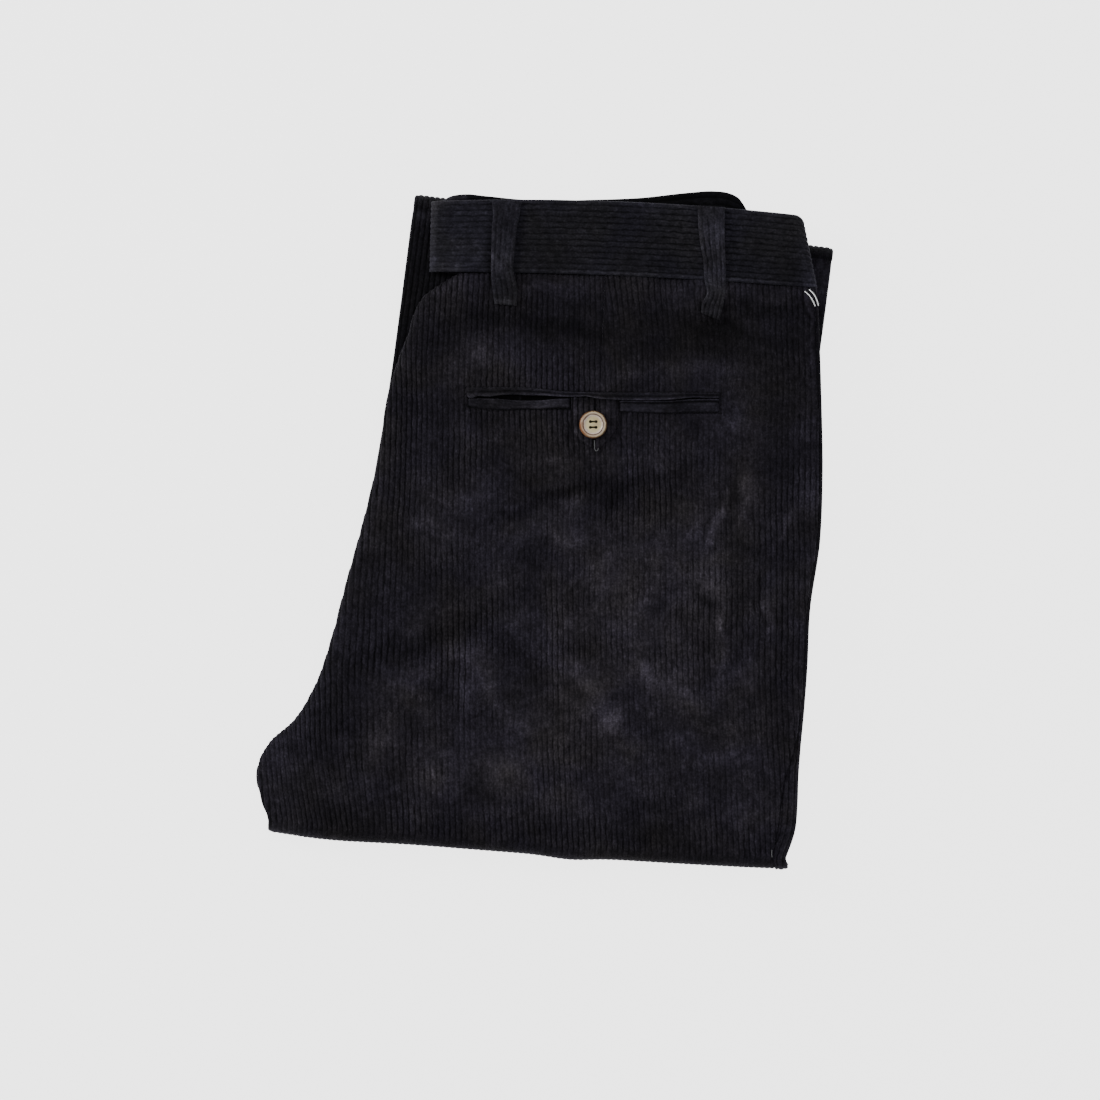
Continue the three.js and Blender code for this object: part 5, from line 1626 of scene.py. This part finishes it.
# %% Horn
def horn():
    material, shader = new_material("horn", {"Roughness": 0.32, "Specular IOR Level": 0.45})
    tree = material.node_tree
    link = tree.links.new
    place = put(tree, "ShaderNodeTexCoord").outputs["Object"]
    centre = put(tree, "ShaderNodeVectorMath", operation="SUBTRACT")
    link(place, centre.inputs[0])
    centre.inputs[1].default_value = (BUTTON_X * MM, BUTTON_Y * MM, 0)
    split = put(tree, "ShaderNodeSeparateXYZ")
    link(centre.outputs["Vector"], split.inputs["Vector"])
    x, y = split.outputs["X"], split.outputs["Y"]
    square = maths(tree, "ADD", maths(tree, "MULTIPLY", x, x), maths(tree, "MULTIPLY", y, y))
    radius = maths(tree, "DIVIDE", maths(tree, "SQRT", square), 8.0 * MM)
    cloud = noise_on(tree, stretched(tree, place, (1.0, 1.7, 1.0)), 300.0, 4.0, 0.6, 1.2)
    rings = put(tree, "ShaderNodeValToRGB")
    stops = rings.color_ramp.elements
    stops.remove(stops[0])
    stops[0].position = HORN_AND_LIGHT_RINGS[0][0]
    stops[0].color = (*HORN_AND_LIGHT_RINGS[0][1], 1)
    for position, color in HORN_AND_LIGHT_RINGS[1:]:
        stops.new(position).color = (*color, 1)
    link(weighed(tree, [(cloud, 0.16), (radius, 1.0)]), rings.inputs["Fac"])
    brown_side = weighed(tree, [(x, -130.0), (y, -45.0)])
    outside = maths(tree, "SUBTRACT", radius, 0.62)
    brown_share = weighed(tree, [(maths(tree, "MULTIPLY", brown_side, outside), 3.4), (cloud, 1.6)])
    brown_share.node.use_clamp = True
    mix = put(tree, "ShaderNodeMix", data_type="RGBA")
    link(brown_share, mix.inputs["Factor"])
    link(rings.outputs["Color"], mix.inputs["A"])
    mix.inputs["B"].default_value = HORN_BROWN
    link(mix.outputs["Result"], shader.inputs["Base Color"])
    return material


HORN = horn()
print("horn nodes:", len(HORN.node_tree.nodes))

# %% Button
def button():
    piece = spin("horn_button", BUTTON_PROFILE, BUTTON_SIDES)
    for at_x in (-HOLE_SPREAD, HOLE_SPREAD):
        for at_y in (-HOLE_SPREAD, HOLE_SPREAD):
            pin = spin("pin", [(0, -1), (HOLE_RADIUS, -1), (HOLE_RADIUS, 5), (0, 5)], PIN_SIDES)
            pin.location = (at_x * MM, at_y * MM, 0)
            cutter = piece.modifiers.new("hole", "BOOLEAN")
            cutter.operation = "DIFFERENCE"
            cutter.solver = "EXACT"
            cutter.object = pin
            keep_result(piece)
            bpy.data.objects.remove(pin)
    piece.data.transform(Matrix.Translation((BUTTON_X * MM, BUTTON_Y * MM, BUTTON_BASE * MM)))
    piece.data.materials.append(HORN)
    piece.data.shade_smooth()
    piece.data.set_sharp_from_angle(angle=SHARP)
    return piece


button_piece = button()
print("button faces:", len(button_piece.data.polygons))

# %% [markdown]
# ## Sewing
#
# Stitches repeat, so one Geometry Nodes tree lays them. It takes a line, marks it off in stitch
# lengths and puts one short thread at each mark, along the line. The edges of the pocket, the
# buttonhole and the ends of the belt loops are all sewn with it. The few loose threads are plain
# tubes.

# %% Threads
STITCH = dict(spacing=2.4, length=1.9, thick=0.44, slant=0.0)
BUTTONHOLE_STITCH = dict(spacing=0.45, length=1.2, thick=0.35, slant=1.5)
BAR_STITCH = dict(spacing=0.55, length=1.7, thick=0.36, slant=1.35)
UNEVEN_SLANT = 0.12


def thread_material(name, color):
    looks = {"Base Color": (*color, 1), "Roughness": 0.6, "Specular IOR Level": 0.1}
    return new_material(name, looks)[0]


DARK_THREAD = thread_material("dark thread", (0.0015, 0.0013, 0.002))
OLIVE_THREAD = thread_material("button thread", (0.012, 0.009, 0.002))
WHITE_THREAD = thread_material("tacking thread", (0.8, 0.82, 0.82))
GREY_THREAD = thread_material("end of a thread", (0.1, 0.1, 0.105))
print("threads:", [thread.name for thread in (DARK_THREAD, OLIVE_THREAD, WHITE_THREAD, GREY_THREAD)])

# %% Stitch tree
def stitch_tree():
    tree, given = new_tree("sew a line", [
        ("Geometry", "Geometry"), ("Length", "Float"), ("Spacing", "Float"),
        ("Thickness", "Float"), ("Slant", "Float"), ("Seed", "Int"), ("Material", "Material")])
    link = tree.links.new
    line = put(tree, "GeometryNodeMeshToCurve")
    link(given["Geometry"], line.inputs["Mesh"])
    marks = put(tree, "GeometryNodeResampleCurve", mode="LENGTH")
    link(line.outputs["Curve"], marks.inputs["Curve"])
    link(given["Spacing"], marks.inputs["Length"])

    turn = put(tree, "FunctionNodeAlignRotationToVector", axis="X")
    link(put(tree, "GeometryNodeInputTangent").outputs["Tangent"], turn.inputs["Vector"])
    chance = put(tree, "FunctionNodeRandomValue", data_type="FLOAT")
    chance.inputs["Min"].default_value = -UNEVEN_SLANT
    chance.inputs["Max"].default_value = UNEVEN_SLANT
    link(given["Seed"], chance.inputs["Seed"])
    lean = put(tree, "ShaderNodeCombineXYZ")
    link(maths(tree, "ADD", chance.outputs["Value"], given["Slant"]), lean.inputs["Z"])
    to_turn = put(tree, "FunctionNodeEulerToRotation")
    link(lean.outputs["Vector"], to_turn.inputs["Euler"])
    both = put(tree, "FunctionNodeRotateRotation", rotation_space="LOCAL")
    link(turn.outputs["Rotation"], both.inputs["Rotation"])
    link(to_turn.outputs["Rotation"], both.inputs["Rotate By"])

    ball = put(tree, "GeometryNodeMeshUVSphere")
    ball.inputs["Segments"].default_value = 8
    ball.inputs["Rings"].default_value = 8
    ball.inputs["Radius"].default_value = 0.5
    size = put(tree, "ShaderNodeCombineXYZ")
    for axis, label in zip("XYZ", ("Length", "Thickness", "Thickness")):
        link(given[label], size.inputs[axis])
    each = put(tree, "GeometryNodeInstanceOnPoints")
    link(marks.outputs["Curve"], each.inputs["Points"])
    link(ball.outputs["Mesh"], each.inputs["Instance"])
    link(both.outputs["Rotation"], each.inputs["Rotation"])
    link(size.outputs["Vector"], each.inputs["Scale"])
    end_tree(tree, each.outputs["Instances"], given["Material"])
    return tree


STITCH_TREE = stitch_tree()
print("stitch tree nodes:", len(STITCH_TREE.nodes))

# %% Lines to sew
def on_seat(x, y, up):
    """A point over the seat, up above the ground between its wales."""
    h = PANEL_H + up + float(seat_relief(np.array([x]), np.array([y]))[0])
    return (x, y, SEAT_AXIS_Z + h - float(sag_at(x, y, 1.0)))


def along_seat(*points):
    return [on_seat(*point) for point in points]


def sew(name, lines, seed, spacing, length, thick, slant):
    """Stitches along each line of points, as one piece."""
    points, edges = [], []
    for line in lines:
        edges += [(len(points) + k, len(points) + k + 1) for k in range(len(line) - 1)]
        points += [(x * MM, y * MM, z * MM) for x, y, z in line]
    mesh = bpy.data.meshes.new(name)
    mesh.from_pydata(points, edges, [])
    return bake_tree(add_object(name, mesh), STITCH_TREE, Length=length * MM,
                     Spacing=spacing * MM, Thickness=thick * MM, Slant=slant, Seed=seed,
                     Material=DARK_THREAD)


def welt_line(name, share, up):
    """A line along a welt: share is 0 at its lower edge and 1 at its upper one."""
    return [on_seat(x, low + (high - low) * share, up) for x, high, low in WELTS[name]]


def loop_ends(table):
    """Two short lines across the foot of a belt loop."""
    low, next_up = table[-1], table[-2]
    lines = []
    for share in (0.35, 0.6):
        row = {key: low[key] + (next_up[key] - low[key]) * share for key in low}
        z = SEAT_AXIS_Z + row["h"] - 0.35
        lines.append([(row["lx"] + 0.8, row["ly"], z), (row["rx"] - 0.8, row["ry"], z)])
    return lines


print("a point over the middle of the seat, mm:", [round(part, 1) for part in on_seat(0, 0, 0)])

# %% Loose threads
def tube(name, points, radius, material, sides=10, step=0.4):
    """A round thread through the points, with rounded ends."""
    points = np.array(points, float)
    gaps = np.concatenate([[0], np.cumsum(np.linalg.norm(np.diff(points, axis=0), axis=1))])
    at = np.linspace(0, gaps[-1], max(6, int(gaps[-1] / step)))
    way = np.stack([curve(gaps, points[:, k], at) for k in range(3)], axis=1)
    ahead = np.gradient(way, axis=0)
    ahead /= np.linalg.norm(ahead, axis=1)[:, None]
    across = np.cross(ahead, (0.1, 0.2, 1.0))
    across /= np.linalg.norm(across, axis=1)[:, None]
    up = np.cross(across, ahead)
    from_end = np.minimum(at, gaps[-1] - at)
    size = radius * np.sqrt(1 - np.clip(1 - from_end / radius, 0, 0.97) ** 2)
    angle = np.linspace(0, 2 * math.pi, sides, endpoint=False)
    ring = (np.cos(angle)[None, :, None] * across[:, None, :]
            + np.sin(angle)[None, :, None] * up[:, None, :])
    grid = way[:, None, :] + size[:, None, None] * ring
    ids = np.arange(len(at) * sides).reshape(len(at), sides)
    after = np.roll(ids, -1, axis=1)
    faces = np.stack([ids[:-1], after[:-1], after[1:], ids[1:]], axis=-1).reshape(-1, 4).tolist()
    faces += [ids[0, ::-1].tolist(), ids[-1].tolist()]
    mesh = bpy.data.meshes.new(name)
    mesh.from_pydata((grid.reshape(-1, 3) * MM).tolist(), [], faces)
    mesh.materials.append(material)
    work = bmesh.new()
    work.from_mesh(mesh)
    bmesh.ops.recalc_face_normals(work, faces=work.faces)
    work.to_mesh(mesh)
    work.free()
    mesh.shade_smooth()
    return add_object(name, mesh)


def button_threads():
    """Two strands between each pair of holes, over the bridge of horn between them."""
    top = BUTTON_BASE + BUTTON_WELL
    strands = []
    for row, side in (("lower", -HOLE_SPREAD), ("upper", HOLE_SPREAD)):
        for k, shift in enumerate((-0.2, 0.22)):
            y = BUTTON_Y + side + shift
            left, right = BUTTON_X - HOLE_SPREAD, BUTTON_X + HOLE_SPREAD
            points = [(left - 0.1, y, top - 1.3), (left + 0.1, y, top + 0.05),
                      (BUTTON_X, y + 0.05, top + 0.42),
                      (right - 0.1, y, top + 0.05), (right + 0.1, y, top - 1.3)]
            strands.append(tube(f"button_thread_{row}_{k + 1}", points, 0.27, OLIVE_THREAD))
    return strands


print("a strand in the button spans, mm:", 2 * HOLE_SPREAD)

# %% Sewing it all
pocket_sewing = sew("pocket_stitches", [
    welt_line("pocket_welt_upper", 1.04, 0.75),
    welt_line("pocket_welt_lower_back", -0.06, 0.55),
    welt_line("pocket_welt_lower_side", -0.05, 0.55),
    along_seat(*((-44.9, y, 0.75) for y in (80, 76, 72, 68.5))),
    along_seat(*((99.6, y, 0.75) for y in (78, 74, 70, 66))),
], seed=1, **STITCH)
buttonhole = sew("buttonhole_stitches", [
    along_seat(*((slit_x(y) + side, y, 1.5) for y in (46.6, 56, 64, 71)))
    for side in (-0.75, 0.75)], seed=3, **BUTTONHOLE_STITCH)
loop_sewing = {name: sew(name + "_stitches", loop_ends(table), seed=4 + i, **BAR_STITCH)
               for i, (name, table) in enumerate(BELT_LOOPS.items())}
button_sewing = button_threads()
tack_threads = [
    tube("tack_thread_inner", along_seat((146.2, 134.6, 0.9), (148.9, 132.1, 1.5),
                                         (151.0, 128.9, 1.4), (152.4, 126.0, 0.6)),
         0.3, WHITE_THREAD),
    tube("tack_thread_outer", along_seat((148.8, 135.6, 0.9), (151.3, 132.9, 2.0),
                                         (153.2, 129.4, 1.9), (154.2, 126.3, 0.8)),
         0.32, WHITE_THREAD),
]
strap_thread = tube(
    "strap_thread_end", along_seat((28.1, 50.8, 1.7), (28.3, 47.4, 1.8), (28.4, 45.6, 1.8),
                                   (29.2, 44.7, 1.7), (30.0, 45.1, 1.8), (30.4, 46.4, 2.0)),
    0.24, GREY_THREAD)
seam_thread = tube(
    "seam_thread_end", along_seat((128.1, -179.6, 0.5), (127.9, -181.8, 0.8),
                                  (128.2, -184.0, 0.6)),
    0.22, GREY_THREAD)
threads = [pocket_sewing, buttonhole, *loop_sewing.values(), *button_sewing, *tack_threads,
           strap_thread, seam_thread]
print("threads and stitches:", [piece.name for piece in threads])

# %% [markdown]
# ## Rides
#
# Cloth has no joints, so every piece rides on the one body. Each takes the place of its solid. The
# table also lists its finish and the size it was cut, but nothing here reads them.

# %% Ride on the body
CLOTH = [  # piece, solid it replaces, slot, cut's width, length and area, how held, what is under it
    (right_back_piece, "back_right", "corduroy", (0.31, 0.345), 0.09, "folded",
     [right_layers, right_front_piece]),
    (right_front_piece, "front_right", "corduroy", (0.02, 0.335), None, "folded", [right_layers]),
    (left_back_piece, "back_left", "corduroy", (0.29, 0.5), 0.12, "folded", [left_layers]),
    (right_layers, "folded_layers", "corduroy", (0.57, 0.74), 0.363, "folded", [left_layers]),
    (left_layers, "folded_layers", "corduroy", (0.57, 0.74), 0.363, "folded", [left_back_piece]),
    (right_band_piece, "waistband_right", "waistband_corduroy", (0.045, 0.225), None, "folded",
     [right_layers]),
    (left_band_piece, "waistband_left", "waistband_corduroy", (0.045, 0.18), None, "folded",
     [left_layers]),
    (tab_piece, "pocket_tab", "corduroy", (0.026, 0.03), None, "laid", [right_back_piece]),
    (loop_pieces["belt_loop_back"], "belt_loop_back", "loop_corduroy", (0.016, 0.06), None, "laid",
     [right_band_piece]),
    (loop_pieces["belt_loop_side"], "belt_loop_side", "loop_corduroy", (0.016, 0.064), None, "laid",
     [right_band_piece]),
]
for piece, node, slot, flat, area, held, under in CLOTH:
    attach(piece, "root")
    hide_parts(node)
for name, piece in welt_pieces.items():
    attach(piece, "root")
    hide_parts(name)
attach(button_piece, "root")
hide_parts("pocket_button")
for thread in threads:
    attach(thread, "root")
print("cloth pieces:", len(CLOTH) + len(welt_pieces))
